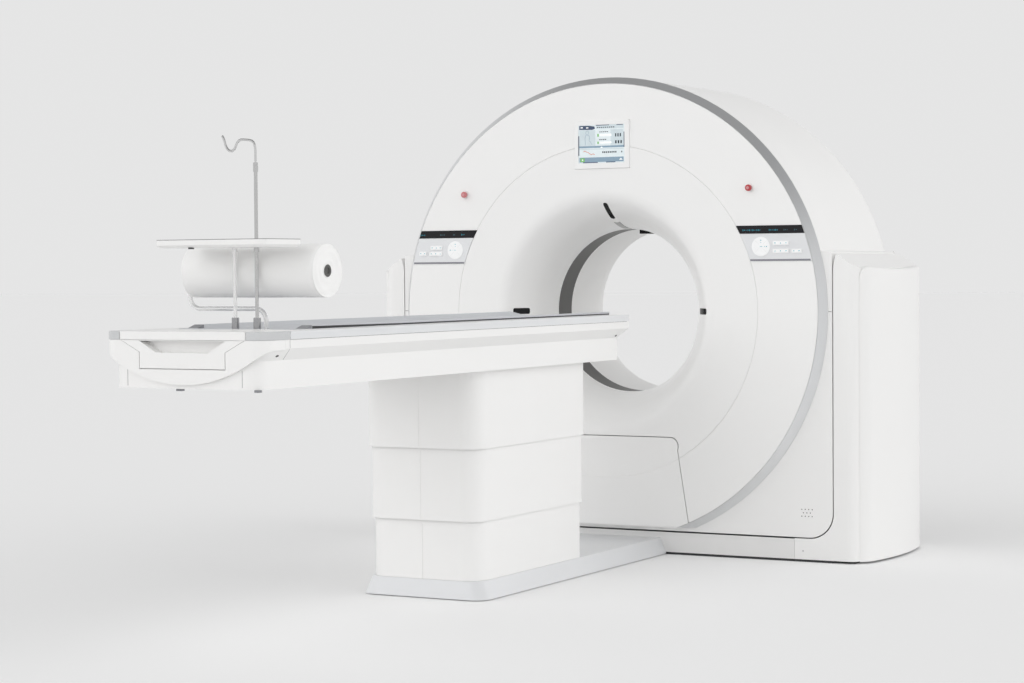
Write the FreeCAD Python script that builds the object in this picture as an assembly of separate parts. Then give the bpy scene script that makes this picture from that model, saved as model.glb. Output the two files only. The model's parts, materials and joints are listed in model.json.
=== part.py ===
"""A computed tomography scanner: tilting gantry between two towers, and its patient table.

Millimetres. +Z is up with the floor at 0, the bore axis runs along Y at X = 0, the scan plane is
Y = 0 and the table stands on the -Y side. The gantry tilts about X through the isocentre.
"""
import FreeCAD, Part
import math
import os

Vector = FreeCAD.Vector

# ---- gantry: driving dimensions -------------------------------------------------------------
bore_radius = 350.0
window_half = 63.0           # half width of the scan window, along Y
mouth_radius = 340.0         # long curve of the bore's mouth, in section
mouth_turn = 46.0            # degrees that the long curve turns through
lip_radius = 80.0            # tighter curve from there to the flat front
flat_angle = 89.4            # degrees turned where the flat front starts
mouth_step = 8.0             # degrees between the corners that follow the mouth's curves
drum_radius = 982.0
floor_room = 32.4            # the drum's circle would clear the floor by this much
iso_height = drum_radius + floor_room
trim_width = 28.0            # silver ring round the front disc
front_ring_width = 256.0     # outer front cover, from the seam circle to the disc's edge
disc_radius = drum_radius - trim_width
seam_radius = disc_radius - front_ring_width
mouth_depth = (window_half + (mouth_radius - lip_radius) * math.sin(math.radians(mouth_turn))
               + lip_radius * math.sin(math.radians(flat_angle)))
seam_front = mouth_depth + 2.0        # how far the seam lies ahead of the scan plane
disc_front = seam_front - 9.4         # the disc falls back towards its edge
front_plane = disc_front - 39.6       # the body's front face, ahead of the scan plane
front_room = (-seam_front - 70.0, -front_plane + 80.0)    # depth that holds every front fitting
rear_seam = 470.0
rear_plane = rear_seam + 35.0
rear_edge_radius = 30.0
body_half_width = drum_radius + 16.5
shoulder_height = iso_height + 244.6
shoulder_radius = 14.0
disc_bottom = floor_room + 85.6       # the front disc is cut off flat here
body_bottom = disc_bottom - 18.0      # lower edge of the body's front lip
body_corner = 100.0          # radius of the front lip's lower corners
lip_thickness = 4.0
swing_radius = drum_radius - 37.0     # underside of the body, about the tilt axis
swing_corner = 118.0
cover_wall = 5.0
cover_flange = 16.0          # turned-in edges of the covers
cover_gap = 0.6              # between neighbouring covers
edge_bevel = 1.5

service_top = iso_height - 522.4      # lower service panel, a trapezoid
service_side_top = service_top - 50.0
service_top_half = 322.0
service_side_half = service_top_half + 15.0
service_bottom_half = service_top_half + 67.0
service_corner = 16.0
service_gap = 3.0

lip_ring_width = 5.0         # narrow lip at the scan window
lip_ring_rise = 1.5
window_wall = 3.0
tunnel_wall = 5.0
tunnel_rear = rear_plane - 170.0      # where the rear mouth starts

# ---- fittings on the front ------------------------------------------------------------------
monitor_x = (-128.0, 127.0)
monitor_z = (iso_height + drum_radius - 383.4, iso_height + drum_radius - 182.4)
monitor_front = seam_front + 4.0
monitor_depth = 62.0
monitor_frame = 26.0         # depth of its visible frame
monitor_inset = 14.0         # the part behind is smaller all round
monitor_corner = 6.0
monitor_bevel = 2.0
screen_x = (monitor_x[0] + 18.0, monitor_x[1] - 22.0)
screen_z = (monitor_z[0] + 24.0, monitor_z[1] - 18.0)
screen_recess = 1.6
screen_thickness = 8.0

panel_z = (iso_height + 205.6, iso_height + 316.6)        # silver control panels
strip_z = (panel_z[1] + 0.6, panel_z[1] + 33.0)           # black display strips above them
panel_edge = 2.0             # from the disc's edge to the panels
panel_lift = 1.2             # panels stand this much proud of the disc
panel_depth = 14.0
ledge_height = 9.0           # raised lower edge of the panels
ledge_lift = 2.5
pad_centre = (disc_radius - 241.0, panel_z[0] + 59.0)
pad_radius = 39.0
pad_height = 2.0
key_height = 1.2
key_seat = 0.3
# blocks of keys: x from the disc's edge inwards, z from the panel's lower edge
keys_right = ((-190.0, -121.0, 64.0, 81.0), (-190.0, -121.0, 32.0, 49.0),
              (-108.0, -66.0, 32.0, 48.0))
keys_left = ((-176.0, -116.0, 61.0, 79.0), (-176.0, -110.0, 35.0, 53.0),
             (-95.0, -59.0, 36.0, 54.0))
key_gap = 2.0

stop_ring = disc_radius - 122.1       # emergency stop buttons, from the bore axis
stop_angle = 37.21                    # degrees above the horizontal
stop_radius = 13.0
stop_height = 13.0
stop_stem_radius = 5.0
stop_collar_radius = 18.0
stop_collar_height = 4.0
stop_travel = 4.0
stop_clearance = 0.08

laser_half = 12.5            # half height of the laser windows
laser_inner = bore_radius + 50.0      # their radial span on the mouth
laser_outer = bore_radius + 108.0
laser_top_half = 7.0         # half width of the window at the top of the mouth
laser_top_turn = (25.0, 52.0)         # degrees along the mouth's curve where it starts and ends
tunnel_window_half = 22.0
tunnel_window_y = (80.0, 190.0)
inlay_gap = 0.3
seat_gap = 0.3               # between pieces that are screwed together

# ---- inside the gantry ----------------------------------------------------------------------
stator_y = (rear_seam - 234.0, rear_seam - 194.0)
stator_half_width = body_half_width - 40.5
stator_half_height = drum_radius - 342.0
stator_hole = bore_radius + 120.0
cheek_x = (stator_half_width - 42.0, stator_half_width)
cheek_half_height = 170.0
cover_mount_height = 70.0    # lugs that carry the body shell
trunnion_radius = 55.0
trunnion_clearance = 0.05
bearing_inner = stator_hole + 35.0
bearing_outer = bearing_inner + 55.0
bearing_y = (stator_y[0] - 46.0, stator_y[0] - seat_gap)
rotor_plate_y = (bearing_y[0] - 50.0, bearing_y[0] - 10.0)
rotor_radius = drum_radius - 102.0
rotor_rim = (26.0, 46.0)     # thickness and depth of the rotor's rim
rotor_bore = bore_radius + 80.0
hub_inner = rotor_bore + 12.0
hub_clearance = 0.05
rotor_span = rotor_radius - rotor_bore
ring_span = rotor_radius - bearing_outer
tube_height = rotor_bore + 0.4667 * rotor_span            # x-ray focus above the isocentre
tube_radius = 0.24 * rotor_span
tube_flange = 16.0
tube_y = (-150.0, rotor_plate_y[0] - seat_gap)
tube_socket = 30.0
collimator_top = 70.0        # half widths of the collimator's body and slot
collimator_low = 118.0
collimator_wall = (36.0, 22.0)
collimator_depth = 62.0
collimator_slot = 30.0
focus_to_detector = tube_height + bore_radius + 52.0
detector_depth = 58.0
detector_half_angle = 25.0
detector_half_width = 70.0
generator_radii = (rotor_bore + 130.0, rotor_radius - rotor_rim[0] - 2.0)
generator_angles = (-24.0, 26.0)
exchanger_angles = (158.0, 206.0)
rotor_box_front = -150.0
slip_ring_radii = (bearing_outer + 0.25 * ring_span, bearing_outer + 0.4875 * ring_span)
slip_ring_depth = 24.0
drive_radii = (bearing_outer + 0.625 * ring_span, bearing_outer + 0.84375 * ring_span)
drive_depth = 38.0

# ---- towers and floor -----------------------------------------------------------------------
tower_inner = body_half_width + 5.0
tower_outer = tower_inner + 100.5
tower_rear = rear_seam + 20.0
tower_corner = 45.0
tower_top_inner = (tower_inner + 13.5, iso_height + 231.6)
tower_top_outer = iso_height + 175.6
tower_flare_start = iso_height + 167.6
tower_flare_radius = 170.0
tower_wall = 4.0
skirt_bottom = 10.6
skirt_top = body_bottom - 7.0
skirt_seam = tower_inner - 169.5
skirt_thickness = 8.0
skirt_gap = 1.0
rear_skirt_top = body_bottom + 50.0
side_bulge = tower_outer + 68.0       # widest point of the side covers
side_centre_y = (tower_rear - front_plane) / 2 - 18.5
side_half_length = (tower_rear + front_plane) / 2 - 48.5
side_half_chord = side_half_length - 53.0
side_arc_radius = 1350.0
side_end_radius = 80.0       # curves at the covers' front and rear ends
side_bottom = 9.0
side_top = iso_height + 181.6
side_corner_radius = 36.0    # the covers' upper corners, seen from the front
side_flange = 34.0           # width of the covers' inner frame
side_gap = 0.6
column_x = (tower_inner + 8.5, tower_outer - 22.0)
column_half_y = 62.0
column_top = iso_height + 93.6
column_wall_thickness = 8.0
column_foot = (50.0, 16.0)   # reach and thickness of the column's foot plate
bearing_boss = (42.0, 6.0)   # wall and step of the tilt bearing's housing
trunnion_end = column_x[1] + 2.0
gear_radius = 88.0           # geared motor of the tilt drive
gear_length = 42.0
motor_radius = 19.0
motor_reach = (60.0, 300.0)
frame_height = 30.0
frame_front = front_plane - skirt_thickness - seat_gap
frame_rear = tower_rear - skirt_thickness - seat_gap
frame_outer = tower_outer - 20.0
anchor_x = tower_inner + 44.5         # floor anchor holes, as a rectangle
anchor_y = (-front_plane + 48.0, tower_rear - 55.0)
anchor_radius = 10.0
beam_width = 60.0
centre_plate_half = 90.0
centre_plate_height = 14.0

# ---- table: driving dimensions --------------------------------------------------------------
table_length = 2552.0
table_head = seam_front + 396.0       # head end of the deck, from the scan plane
table_foot = table_head + table_length
deck_half_width = 310.0
deck_top = iso_height - 4.4
deck_wall = 6.0
rail_thickness = 12.0
rail_height = 26.0
rail_groove = 9.0            # the groove starts this far from the rail's edges
rail_groove_depth = 1.6
rail_bottom = deck_top - rail_height
side_bottom_edge = deck_top - 54.0
chamfer_bottom = deck_top - 90.0
belly = deck_top - 178.0
deck_side = deck_half_width - 2.0     # painted sides under the rails
lower_half_width = deck_half_width - 30.0
deck_corner = 54.0
lower_head_step = 50.0       # the lower body ends this much before the deck's head end
joint_gap = 1.6              # open joints beside the corner caps
cap_flat = deck_half_width - 70.0     # corner caps start here on the foot face
cap_side_end = table_foot - 141.0     # and end here on the sides
foot_seam = table_foot - 116.0
foot_setback = 12.0
foot_rim = deck_top - 62.0   # upper edge of the deck body behind the foot cap
foot_notch = (180.0, deck_top - 80.0)                     # lowered there for the hand grip
smile_side = deck_top - 57.0          # lower edge of the foot cap, at the sides and in the middle
smile_middle = belly + 12.0
foot_panel_top = rail_bottom - 1.0
foot_panel_wide = deck_half_width - 76.0
foot_panel_narrow = foot_panel_wide - 72.0
foot_panel_knee = foot_panel_top - 37.0
foot_panel_bottom = foot_panel_top - 88.0
foot_panel_gap = 2.6
foot_panel_depth = 44.0
grip_top = (foot_panel_narrow + 2.0, foot_panel_top - 2.0)      # hand grip in the foot panel
grip_low = (foot_panel_narrow - 63.0, foot_panel_top - 39.0)
grip_depth = 34.0
grip_wall = 8.0

cradle_half_width = deck_half_width - 80.0
cradle_foot = table_foot - 280.0
cradle_head = table_head - 28.0
cradle_low = deck_top - 11.0          # lowest line of the hollow top
cradle_rim = deck_top + 12.0          # raised edges along both sides
rim_foot = cradle_foot - 103.0        # the raised edges start here
rim_edge = 4.0
hollow_half = cradle_half_width - 40.0
hollow_depth = 11.0
cradle_bottom = deck_top - 38.0
cradle_side_gap = 6.0
guide_x = cradle_half_width - 80.0
guide_half_width = 14.0
guide_z = cradle_bottom - 24.0        # top of the guide rails
carriage_y = (-cradle_foot + 20.0, -cradle_foot + 480.0)
carriage_length = 110.0
carriage_half_width = 34.0
carriage_grip = 16.0         # how far the carriages reach down beside their rails
slide_clearance = 0.3
beam_half_width = 22.0
beam_wall = (5.0, 6.0)       # sides, then top and bottom
beam_z = (belly + 14.0, guide_z - 22.3)
beam_foot = table_foot - 90.0
beam_rear = table_head + 72.0

base_top_half = 236.0
base_bottom_half = base_top_half + 26.0
base_z = (4.0, 69.0)
base_foot_bottom = 1849.0
base_foot_top = base_foot_bottom - 12.0
base_head = front_plane + 0.3
base_corner = 60.0
base_wall = 8.0
foot_pad_radius = 30.0
foot_pad_height = 12.0
foot_stud_radius = 8.0
foot_inset = (60.0, 110.0)   # levelling feet, in from the base plate's edges

pedestal_corner = 75.0
pedestal_rear_corner = 20.0
pedestal_wall = 3.0
pedestal_seam = 1.2
# telescoping covers: half width, front, rear, bottom, top
low_cover = (base_top_half - 3.0, -base_foot_top + 4.0, -base_foot_top + 827.0,
             base_z[1] + seat_gap, 330.0)
mid_cover = (base_top_half + 3.0, -base_foot_top - 6.0, -base_foot_top + 834.0,
             285.0, belly - 242.0)
top_cover = (base_top_half + 9.0, -base_foot_top - 16.0, -base_foot_top + 843.0,
             belly - 284.0, belly - seat_gap)
column_centre_y = -base_foot_top + 417.0
column_wall = 10.0
column_step = 14.0
column_size = (300.0, 560.0)                           # outer stage, along X and Y
column_flange = (30.0, 12.0)                           # reach and thickness of its foot flange
low_column_z = (base_z[1] + seat_gap, 360.0)
mid_arm_z = (belly - 258.0, belly - 246.0)             # arms from the middle stage to its cover
mid_arm_width = 70.0
mid_arm_reach = 180.0
mid_column_z = (295.0, belly - 232.0)
top_column_z = (belly - 327.0, belly - seat_gap)
top_plate = (170.0, 300.0, 14.0)                       # half sizes and thickness under the deck
glide_height = 70.0
glide_length = 60.0
glide_inset = 50.0
ram_radii = (44.0, 34.0)      # telescopic ram inside the column, middle and upper stage
ram_wall = 8.0

# ---- accessories on the cradle --------------------------------------------------------------
tray_half = 214.0
tray_y = (-cradle_foot - 130.0, -cradle_foot + 80.0)
tray_z = (cradle_low + 272.0, cradle_low + 298.0)
tray_corner = 20.0
tray_floor_bevel = 8.0
tray_wall = 3.0
post_left = -34.0
post_right = 51.0
post_y = -cradle_foot + 57.0
post_radius = 6.0
post_rest = 3.0              # collars under the tray, wider than the posts by this much
post_rest_height = 14.0
socket_radius = 12.0
socket_foot_radius = 17.0
socket_foot_height = 4.0
socket_top = cradle_low + 47.0
socket_floor_thickness = 4.0
pole_top = cradle_low + 532.0
pole_bore = 4.2
pole_groove = (0.7, 2.4)     # depth and width of the rings cut round the pole
pole_groove_z = (cradle_low + 483.0, cradle_low + 490.0, cradle_low + 497.0)
collar_radius = 8.0
collar_z = (cradle_low + 514.0, cradle_low + 544.0)
collar_bore_gap = 0.05
rod_radius = 4.1
rod_tail = cradle_low + 81.0
hook_start = cradle_low + 583.0
# the hook's line: x from the pole, z from its start
hook_line = ((-1.5, 12.0), (-8.0, 27.0), (-22.0, 33.0), (-42.0, 35.0), (-59.0, 35.0),
             (-69.5, 28.0), (-81.0, 7.0), (-92.5, 0.0), (-104.0, 3.0), (-115.0, 18.0),
             (-122.5, 40.0), (-129.0, 50.0))
hook_chords = 24
roll_radius = 87.0
roll_half = 259.0
roll_y = -cradle_foot + 155.0
roll_z = cradle_low + 196.0
roll_tail_step = 1.2
spindle_radius = 16.9
roll_bore = spindle_radius + 0.1
bracket_radius = 7.5
bracket_bend = 38.0
bend_step = 15.0             # degrees between the mitred lengths of a bend
bracket_x = (18.0, -roll_half - 24.0)
bracket_run_z = cradle_low + 74.0
bracket_foot_radius = 20.0
bracket_foot_height = 6.0
roll_stop_radius = 22.0
roll_stop = (0.5, 3.0)       # gap to the roll, and thickness

X_AXIS = Vector(1, 0, 0)
Y_AXIS = Vector(0, 1, 0)
Z_AXIS = Vector(0, 0, 1)
ISOCENTRE = Vector(0, 0, iso_height)


# ---- small helpers --------------------------------------------------------------------------
def box(x, y, z):
    """Box between three pairs of limits."""
    return Part.makeBox(x[1] - x[0], y[1] - y[0], z[1] - z[0], Vector(x[0], y[0], z[0]))


def rod(start, end, radius):
    """Round bar between two points."""
    way = end - start
    return Part.makeCylinder(radius, way.Length, start, way)


def wire(steps, place):
    """Closed wire through (u, v) corners; (u, v, um, vm) is reached by an arc through (um, vm)."""
    points = [place(step[0], step[1]) for step in steps]
    edges = []
    for k, step in enumerate(steps):
        if len(step) == 4:
            edges.append(Part.Arc(points[k - 1], place(step[2], step[3]), points[k]).toShape())
        elif points[k - 1].distanceToPoint(points[k]) > 0.001:
            edges.append(Part.LineSegment(points[k - 1], points[k]).toShape())
    return Part.Wire(edges)


def extrude_x(steps, x):
    """Outline in (y, z), extruded along X."""
    face = Part.Face(wire(steps, lambda u, v: Vector(x[0], u, v)))
    return face.extrude(Vector(x[1] - x[0], 0, 0))


def extrude_y(steps, y):
    """Outline in (x, z), extruded along Y."""
    face = Part.Face(wire(steps, lambda u, v: Vector(u, y[0], v)))
    return face.extrude(Vector(0, y[1] - y[0], 0))


def extrude_z(steps, z):
    """Outline in (x, y), extruded along Z."""
    face = Part.Face(wire(steps, lambda u, v: Vector(u, v, z[0])))
    return face.extrude(Vector(0, 0, z[1] - z[0]))


def turned(steps):
    """Outline in (radius, y), turned about the bore axis."""
    face = Part.Face(wire(steps, lambda u, v: Vector(u, v, iso_height)))
    return face.revolve(ISOCENTRE, Y_AXIS, 360)


def swung(steps):
    """Outline in (x, radius), turned about the tilt axis."""
    face = Part.Face(wire(steps, lambda u, v: Vector(u, 0, iso_height + v)))
    return face.revolve(ISOCENTRE, X_AXIS, 360)


def ring(inner, outer, y):
    """Plain ring about the bore axis."""
    return turned([(inner, y[0]), (outer, y[0]), (outer, y[1]), (inner, y[1])])


def rounded(u, v, radii):
    """Rectangle with a radius at each corner: low-low, high-low, high-high, low-high."""
    corners = ((u[0], v[0], 1, 1), (u[1], v[0], -1, 1), (u[1], v[1], -1, -1), (u[0], v[1], 1, -1))
    steps = []
    for k, (cu, cv, su, sv) in enumerate(corners):
        r = radii[k]
        if r == 0:
            steps.append((cu, cv))
            continue
        along_u = (cu + su * r, cv)
        along_v = (cu, cv + sv * r)
        first, last = (along_v, along_u) if k % 2 == 0 else (along_u, along_v)
        bow = r * (1 - math.sqrt(0.5))
        steps.append(first)
        steps.append((last[0], last[1], cu + su * bow, cv + sv * bow))
    return steps


def arc_middle(start, end, radius, side):
    """Middle of the shallow arc between two points; side is +1 for a bulge to the right."""
    du = end[0] - start[0]
    dv = end[1] - start[1]
    half = math.hypot(du, dv) / 2
    rise = radius - math.sqrt(radius * radius - half * half)
    return ((start[0] + end[0]) / 2 + side * dv / (2 * half) * rise,
            (start[1] + end[1]) / 2 - side * du / (2 * half) * rise)


def round_steps(centre, radius, start, end, count):
    """Corners along an arc of a section, from one angle to another."""
    steps = []
    for k in range(count + 1):
        a = math.radians(start + (end - start) * k / count)
        steps.append((centre[0] + radius * math.cos(a), centre[1] + radius * math.sin(a)))
    return steps


def mirrored(shape):
    """The same piece on the other side of X = 0."""
    return shape.mirror(Vector(0, 0, 0), X_AXIS)


def past(point, way, size):
    """Block on the far side of the plane through a point."""
    block = Part.makeBox(size, size, size, Vector(-size / 2, -size / 2, 0))
    block.Placement = FreeCAD.Placement(point, FreeCAD.Rotation(Z_AXIS, way))
    return block


def mitred_bar(path, radius):
    """Round bar along a line of points, mitred at each inner point."""
    ways = [(path[k + 1] - path[k]).normalize() for k in range(len(path) - 1)]
    runs = []
    for k, way in enumerate(ways):
        start = path[k] - way * (radius if k > 0 else 0)
        end = path[k + 1] + way * (radius if k < len(ways) - 1 else 0)
        run = rod(start, end, radius)
        if k > 0:
            run = run.cut(past(path[k], -(ways[k - 1] + way), 4 * radius))
        if k < len(ways) - 1:
            run = run.cut(past(path[k + 1], way + ways[k + 1], 4 * radius))
        runs.append(run)
    return fuse(runs)


def bent_path(points, bend):
    """Straight runs joined by bends of one radius, each a few short lengths."""
    path = [points[0]]
    for k in range(1, len(points) - 1):
        before = (points[k] - points[k - 1]).normalize()
        after = (points[k + 1] - points[k]).normalize()
        turn = math.degrees(before.getAngle(after))
        start = points[k] - before * bend * math.tan(math.radians(turn / 2))
        normal = before.cross(after).normalize()
        centre = start + normal.cross(before) * bend
        count = math.ceil(turn / bend_step - 0.01)
        for j in range(count + 1):
            swing = FreeCAD.Rotation(normal, turn * j / count)
            path.append(centre + swing.multVec(start - centre))
    return path + [points[-1]]


def fuse(shapes):
    """One solid from touching or overlapping shapes."""
    whole = shapes[0].fuse(shapes[1:])
    return whole.removeSplitter()


def group(*shapes):
    """Separate like pieces that share one node."""
    return Part.makeCompound([solid for shape in shapes for solid in shape.Solids])


def save(node, shape):
    """Write one piece to its STEP file."""
    shape.exportStep("parts/" + node + ".step")


# ---- the gantry's front ---------------------------------------------------------------------
def mouth_point(inset, angle):
    """(radius, y) on the bore mouth's curve, at a depth behind its visible face."""
    turn = math.radians(mouth_turn)
    a = math.radians(angle)
    if angle <= mouth_turn:
        r = mouth_radius - inset
        return (bore_radius + mouth_radius - r * math.cos(a), -window_half - r * math.sin(a))
    r = lip_radius - inset
    centre_r = bore_radius + mouth_radius - (mouth_radius - lip_radius) * math.cos(turn)
    centre_y = -window_half - (mouth_radius - lip_radius) * math.sin(turn)
    return (centre_r - r * math.cos(a), centre_y - r * math.sin(a))


def mouth_corners(inset, start, end, step):
    """Corners that follow the mouth's curve from one angle to another."""
    count = math.ceil(abs(end - start) / step)
    return [mouth_point(inset, start + (end - start) * k / count) for k in range(count + 1)]


def disc_face(radius):
    """Y of the outer front cover's visible face at a radius."""
    fall = (seam_front - disc_front) / (disc_radius - seam_radius)
    return -seam_front + fall * (radius - seam_radius)


def disc_band(inner, outer, lift, depth):
    """Ring that follows the outer front cover's face."""
    return turned([(inner, disc_face(inner) + depth), (inner, disc_face(inner) - lift),
                   (outer, disc_face(outer) - lift), (outer, disc_face(outer) + depth)])


def below_disc():
    """Everything under the level where the front disc is cut off."""
    return box((-drum_radius, drum_radius), front_room, (0, disc_bottom))


def service_outline(grow):
    """Trapezoid of the lower service panel, grown by a gap, in (x, z)."""
    top = service_top + grow
    top_half = service_top_half - service_corner
    knee = (service_side_half + grow, service_side_top)
    foot = (service_bottom_half + grow, disc_bottom - 40)
    shoulder = (top_half + grow / 2, top)
    over = (knee[0] - service_corner * 0.4, top - service_corner * 0.8)
    return [(-foot[0], foot[1]), (foot[0], foot[1]), knee,
            (shoulder[0], shoulder[1], over[0], over[1]),
            (-shoulder[0], shoulder[1]), (-knee[0], knee[1], -over[0], over[1])]


def front_openings():
    """What is cut out of both front covers."""
    monitor = box((monitor_x[0] - inlay_gap, monitor_x[1] + inlay_gap), front_room,
                  (monitor_z[0] - inlay_gap, monitor_z[1] + inlay_gap))
    service = extrude_y(service_outline(service_gap), (front_room[0], -window_half))
    return monitor.fuse([service, below_disc()])


def laser_cutters(gap):
    """Boxes round the laser windows of the bore's mouth."""
    knee = mouth_point(0, mouth_turn)[1]
    cutters = []
    for side in (-1, 1):
        x = sorted((side * (laser_inner - gap), side * (laser_outer + gap)))
        cutters.append(box(x, (knee - gap - cover_wall, -window_half - 1),
                           (iso_height - laser_half - gap, iso_height + laser_half + gap)))
    rear, front = (mouth_point(0, turn) for turn in laser_top_turn)
    top = box((-laser_top_half - gap, laser_top_half + gap), (front[1] - gap, rear[1] + gap),
              (iso_height + bore_radius, iso_height + front[0] + 2 * cover_wall))
    return cutters[0].fuse([cutters[1], top])


def inner_cover_blank():
    """Bore mouth and flat front up to the seam circle."""
    edge = seam_radius - cover_gap / 2
    flange = -seam_front + cover_flange
    return turned([*mouth_corners(0, 0, mouth_turn, mouth_step),
                   *mouth_corners(0, mouth_turn + 0.001, flat_angle, mouth_step)[1:],
                   (edge - edge_bevel, -seam_front), (edge, -seam_front + edge_bevel),
                   (edge, flange), (edge - cover_wall, flange),
                   (edge - cover_wall, -seam_front + cover_wall),
                   *mouth_corners(cover_wall, flat_angle, mouth_turn + 10, 90),
                   *mouth_corners(cover_wall, mouth_turn, 0, 2 * mouth_step)])


def outer_cover_blank():
    """Annulus from the seam circle to the trim ring."""
    inner = seam_radius + cover_gap / 2
    outer = disc_radius - cover_gap
    rim = front_plane + seat_gap
    return turned([(inner, disc_face(inner) + cover_flange),
                   (inner, disc_face(inner) + edge_bevel),
                   (inner + edge_bevel, disc_face(inner + edge_bevel)), (outer, disc_face(outer)),
                   (outer, -rim), (outer - cover_wall, -rim),
                   (outer - cover_wall, disc_face(outer) + cover_wall),
                   (inner + cover_wall, disc_face(inner) + cover_wall),
                   (inner + cover_wall, disc_face(inner) + cover_flange)])


def make_front_inner_cover():
    """Bore mouth, with a narrow lip in front of the scan window."""
    cover = inner_cover_blank().cut(front_openings()).cut(laser_cutters(inlay_gap))
    lip = ring(bore_radius - lip_ring_rise, bore_radius + cover_wall,
               (-window_half - lip_ring_width, -window_half))
    return cover.fuse(lip).removeSplitter()


def make_laser_windows():
    blank = inner_cover_blank().common(laser_cutters(0))
    tunnel = ring(bore_radius, bore_radius + tunnel_wall, tunnel_window_y)
    pane = tunnel.common(box((-tunnel_window_half, tunnel_window_half), tunnel_window_y,
                             (iso_height, iso_height + drum_radius)))
    return Part.makeCompound(blank.Solids + pane.Solids)


def half_slice(band, side, z):
    """Part of a band round the disc on one side, between two heights."""
    x = sorted((side * seam_radius / 2, side * drum_radius))
    return band.common(box(x, front_room, z))


def panel_recess(side):
    """Opening in the outer cover for one control panel and its strip."""
    band = disc_band(seam_radius - cover_wall, disc_radius - panel_edge + inlay_gap,
                     panel_depth, 3 * cover_wall)
    return half_slice(band, side, (panel_z[0] - inlay_gap, strip_z[1] + inlay_gap))


def stop_seat(side):
    """Centre of an emergency stop on the outer cover's face."""
    a = math.radians(stop_angle)
    return Vector(side * stop_ring * math.cos(a), disc_face(stop_ring),
                  iso_height + stop_ring * math.sin(a))


def make_front_outer_cover():
    cover = outer_cover_blank().cut(front_openings())
    for side in (-1, 1):
        cover = cover.cut(panel_recess(side))
        seat = stop_seat(side)
        collar = rod(seat + Y_AXIS * (cover_wall - 1), seat - Y_AXIS * stop_collar_height,
                     stop_collar_radius)
        cover = cover.fuse(collar)
        through = Y_AXIS * stop_collar_radius
        cover = cover.cut(rod(seat + through, seat - through, stop_stem_radius + stop_clearance))
    return cover


def make_service_panel():
    blank = inner_cover_blank().fuse(outer_cover_blank())
    wedge = extrude_y(service_outline(0), (front_room[0], -window_half))
    skin = blank.common(wedge)
    skin = skin.cut(below_disc())
    overlap = cover_wall + 3
    bridge = disc_band(seam_radius - overlap, seam_radius + overlap, -1.2, cover_wall)
    skin = skin.fuse(bridge.common(wedge))
    half = service_bottom_half - service_corner
    sill = box((-half, half), (-disc_front - 1, -front_plane - seat_gap),
               (disc_bottom, disc_bottom + cover_wall))
    sill = sill.common(ring(1.0, disc_radius - cover_gap, (-disc_front - 3, -front_plane)))
    return skin.fuse(sill)


def make_trim_ring():
    toe = -front_plane - seat_gap
    section = [(disc_radius, toe), (disc_radius, -disc_front + 0.6),
               (disc_radius + 1.2, -disc_front - 0.4), (drum_radius, toe - 1.5), (drum_radius, toe)]
    return turned(section).cut(below_disc())


def make_scan_window():
    y = (-window_half + inlay_gap, window_half - inlay_gap)
    return ring(bore_radius, bore_radius + window_wall, y)


def make_rear_tunnel():
    tunnel = ring(bore_radius, bore_radius + tunnel_wall, (window_half, tunnel_rear - inlay_gap))
    y = (tunnel_window_y[0] - inlay_gap, tunnel_window_y[1] + inlay_gap)
    half = tunnel_window_half + inlay_gap
    return tunnel.cut(box((-half, half), y, (iso_height, iso_height + drum_radius)))


def make_monitor_housing():
    frame = extrude_y(rounded(monitor_x, monitor_z, (monitor_corner,) * 4),
                      (-monitor_front, -monitor_front + monitor_frame))
    front_edges = [e for e in frame.Edges if abs(e.BoundBox.YMin + monitor_front) < 0.01
                   and e.BoundBox.YLength < 0.01]
    frame = frame.makeChamfer(monitor_bevel, front_edges)
    back = box((monitor_x[0] + monitor_inset, monitor_x[1] - monitor_inset),
               (-monitor_front + monitor_frame - 1, -monitor_front + monitor_depth),
               (monitor_z[0] + monitor_inset, monitor_z[1] - monitor_inset))
    window = box((screen_x[0] - inlay_gap, screen_x[1] + inlay_gap),
                 (-monitor_front - 1, -monitor_front + screen_recess + screen_thickness + seat_gap),
                 (screen_z[0] - inlay_gap, screen_z[1] + inlay_gap))
    return fuse([frame, back]).cut(window)


def make_monitor_screen():
    front = -monitor_front + screen_recess
    return box(screen_x, (front, front + screen_thickness), screen_z)


def panel_slice(side, z, lift):
    """Part of the disc's band between two heights, on one side."""
    band = disc_band(seam_radius + inlay_gap, disc_radius - panel_edge, lift, panel_depth)
    return half_slice(band, side, z)


def make_control_panel(side):
    panel = panel_slice(side, panel_z, panel_lift)
    ledge = panel_slice(side, (panel_z[0], panel_z[0] + ledge_height), panel_lift + ledge_lift)
    return fuse([panel, ledge])


def make_display_strip(side):
    return panel_slice(side, strip_z, panel_lift + 0.8)


def key_layer(height):
    """Sheet that follows the control panel's face, which the keys are cut from."""
    back = panel_lift + key_seat
    return disc_band(seam_radius + inlay_gap, disc_radius - panel_edge, back + height, -back)


def make_keypad(side, blocks):
    """Round pad and rows of sealed keys, seated on the control panel."""
    centre = Vector(side * pad_centre[0], front_room[0], pad_centre[1])
    keys = [key_layer(pad_height).common(rod(centre, centre + Y_AXIS * mouth_radius, pad_radius))]
    layer = key_layer(key_height)
    for (x0, x1, z0, z1), count in zip(blocks, (3, 3, 2)):
        pitch = (x1 - x0 + key_gap) / count
        for k in range(count):
            left = disc_radius + x0 + k * pitch
            x = sorted((side * left, side * (left + pitch - key_gap)))
            keys.append(layer.common(box(x, front_room, (panel_z[0] + z0, panel_z[0] + z1))))
    return group(*keys)


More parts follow.
